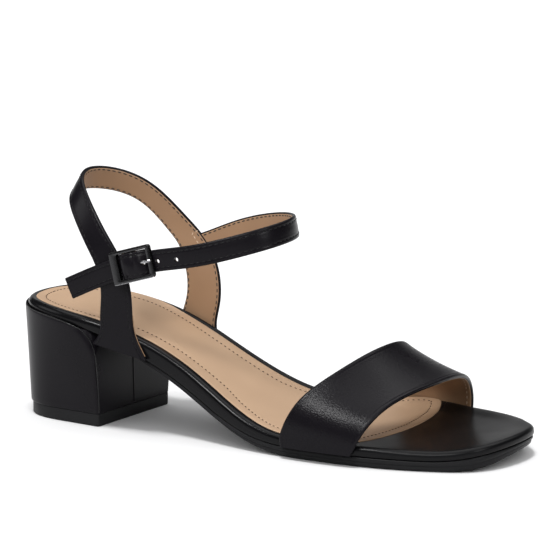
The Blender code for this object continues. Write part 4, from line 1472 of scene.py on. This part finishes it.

# Bright steel for the prong; it also colours the painted highlight strip along the frame's lower edge.
prong_steel_and_edge_glint = make_finish(
    "prong_steel_and_edge_glint", (0.3, 0.3, 0.31), (0.38, 0.38, 0.39),
    gloss=(0.16, 0.24), cells=900, mottle=150, depth=0.002, metallic=1.0,
)
# Painted highlight: a thin strip of bright steel along the frame's lower edge stands in for the glint of
# the floor there.
edge_rows = in_buckle((frame_rings[1] + frame_rings[2])[GLINT_EDGE] / 2)
edge_rows = evenly(edge_rows, GLINT_EDGE_POINTS)
make_tube("buckle_edge_glint", edge_rows, GLINT_EDGE_RADIUS, prong_steel_and_edge_glint)

prong_rows = np.array(PRONG_LINE)
prong_knots = chord_knots(prong_rows[:, :2])
prong_rows = natural_spline(prong_knots, prong_rows)(np.linspace(0, prong_knots[-1], PRONG_POINTS))
prong_points = []
for along, out, radius in prong_rows:
    for turn in 2 * math.pi * np.arange(BAR_SIDES) / BAR_SIDES:
        round_out = radius * PRONG_FLATTENED * math.sin(turn)
        prong_points.append((along, out + round_out, radius * math.cos(turn)))
prong_points = in_buckle(prong_points)
prong_faces = tube_faces(PRONG_POINTS, BAR_SIDES)
prong = make_piece("prong_metal", prong_points, prong_faces, prong_steel_and_edge_glint, sharp=60)
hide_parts("buckle_prong")

# Studio
# A plain white floor lit by two lights of its own, seven soft panels that light only the shoe, and a
# long lens at the height and angle of the photograph.

CAMERA_PLACE = (688.1, -1156.2, 324.6)
CAMERA_AZIMUTH = math.radians(26.22)
CAMERA_ELEVATION = math.radians(12.09)
CAMERA_FOCUS = 3049.9
CAMERA_CENTRE = (-4.66, 41.16)
IMAGE_SIDE = 560
SENSOR_WIDTH = 36.0
FLOOR_REACH = 6
FLOOR_TONE = (0.86, 0.86, 0.865, 1.0)
AIM = (0.0, 0.0, 0.03)
BEARING_CENTRE = (0.03, 0.0, 0.03)

scene = bpy.context.scene
scene.view_settings.view_transform = "Standard"

floor_material = bpy.data.materials.new("white_floor")
floor_material.use_nodes = True
floor_shader = floor_material.node_tree.nodes["Principled BSDF"]
floor_shader.inputs["Base Color"].default_value = FLOOR_TONE
floor_shader.inputs["Roughness"].default_value = 0.9
floor_shader.inputs["Specular IOR Level"].default_value = 0.0
floor_mesh = bpy.data.meshes.new("floor")
floor_corners = [(x * FLOOR_REACH, y * FLOOR_REACH, 0) for x, y in ((-1, -1), (1, -1), (1, 1), (-1, 1))]
floor_mesh.from_pydata(floor_corners, [], [(0, 1, 2, 3)])
floor_mesh.materials.append(floor_material)


def put_in_scene(name, data):
    thing = bpy.data.objects.new(name, data)
    scene.collection.objects.link(thing)
    return thing


floor = put_in_scene("floor", floor_mesh)

world = bpy.data.worlds.new("studio")
world.use_nodes = True
world.node_tree.nodes["Background"].inputs["Color"].default_value = (1.0, 1.0, 1.0, 1.0)
world.node_tree.nodes["Background"].inputs["Strength"].default_value = 0.02
scene.world = world


def turned_along(way):
    """Rotation that turns a light's or a camera's -z along a direction, with its y up."""
    return Vector(way).to_track_quat("-Z", "Y").to_euler()


def from_bearing(azimuth, elevation, distance):
    """A place round the shoe, from its bearing in degrees and its distance in metres."""
    turn, lift = math.radians(azimuth), math.radians(elevation)
    flat = math.cos(lift) * distance
    way = (flat * math.cos(turn), flat * math.sin(turn), math.sin(lift) * distance)
    return tuple(np.add(BEARING_CENTRE, way))


def make_softbox(name, place, aim, size, power):
    """A soft panel of light at a place, aimed at a point."""
    light = bpy.data.lights.new(name, "AREA")
    light.shape = "RECTANGLE"
    light.size, light.size_y = size
    light.energy = power
    box = put_in_scene(name, light)
    box.location = place
    box.rotation_euler = turned_along(np.subtract(aim, place))
    return box


def make_floor_light(name, power, spread, tilt):
    """A far light for the floor, with its spread and its tilt from upright in degrees."""
    light = bpy.data.lights.new(name, "SUN")
    light.energy = power
    light.angle = math.radians(spread)
    lamp = put_in_scene(name, light)
    lamp.rotation_euler = (math.radians(tilt), 0.0, 0.0)
    return lamp


softboxes = (
    # name, place, aim, width and height, power
    make_softbox("overhead_panel", (0.0, 0.2, 1.7), AIM, (2.4, 1.8), 26.8),
    make_softbox("backdrop_panel", (-0.4, 1.6, 0.3), AIM, (3.0, 0.4), 1.9),
    make_softbox("back_panel", from_bearing(80, 51, 1.6), AIM, (1.4, 0.8), 2.9),
    make_softbox("side_softbox", from_bearing(-114, 49, 1.2), (0.05, -0.02, 0.03), (0.33, 0.22), 8.8),
    make_softbox("toe_softbox", from_bearing(-25, 26, 1.6), AIM, (0.5, 0.5), 6.2),
    make_softbox("front_softbox", from_bearing(-80, 38, 1.6), AIM, (0.6, 0.5), 8.8),
    make_softbox("heel_softbox", from_bearing(-160, 25, 1.6), AIM, (0.8, 0.6), 3.0),
)
floor_lights = (
    # name, power, spread, tilt
    make_floor_light("floor_light", 1.85, 12, 8),
    make_floor_light("floor_fill", 2.6, 170, 0),
)

floor_only = bpy.data.collections.new("floor_only")
floor_only.objects.link(floor)
for lamp in floor_lights:
    lamp.light_linking.receiver_collection = floor_only
not_floor = bpy.data.collections.new("not_floor")
not_floor.objects.link(floor)
not_floor.collection_objects[0].light_linking.link_state = "EXCLUDE"
for box in softboxes:
    box.light_linking.receiver_collection = not_floor

cos_a, sin_a = math.cos(CAMERA_AZIMUTH), math.sin(CAMERA_AZIMUTH)
cos_e, sin_e = math.cos(CAMERA_ELEVATION), math.sin(CAMERA_ELEVATION)
right = np.array([cos_a, sin_a, 0.0])
backward = np.array([sin_a * cos_e, -cos_a * cos_e, sin_e])
upward = np.cross(backward, right)
look = -backward - right * CAMERA_CENTRE[0] / CAMERA_FOCUS + upward * CAMERA_CENTRE[1] / CAMERA_FOCUS
lens = bpy.data.cameras.new("camera")
lens.sensor_width = SENSOR_WIDTH
lens.lens = CAMERA_FOCUS * SENSOR_WIDTH / IMAGE_SIDE
lens.clip_end = 30.0
camera = put_in_scene("camera", lens)
camera.location = np.array(CAMERA_PLACE) * MM + shoe_origin
camera.rotation_euler = turned_along(look)
scene.camera = camera
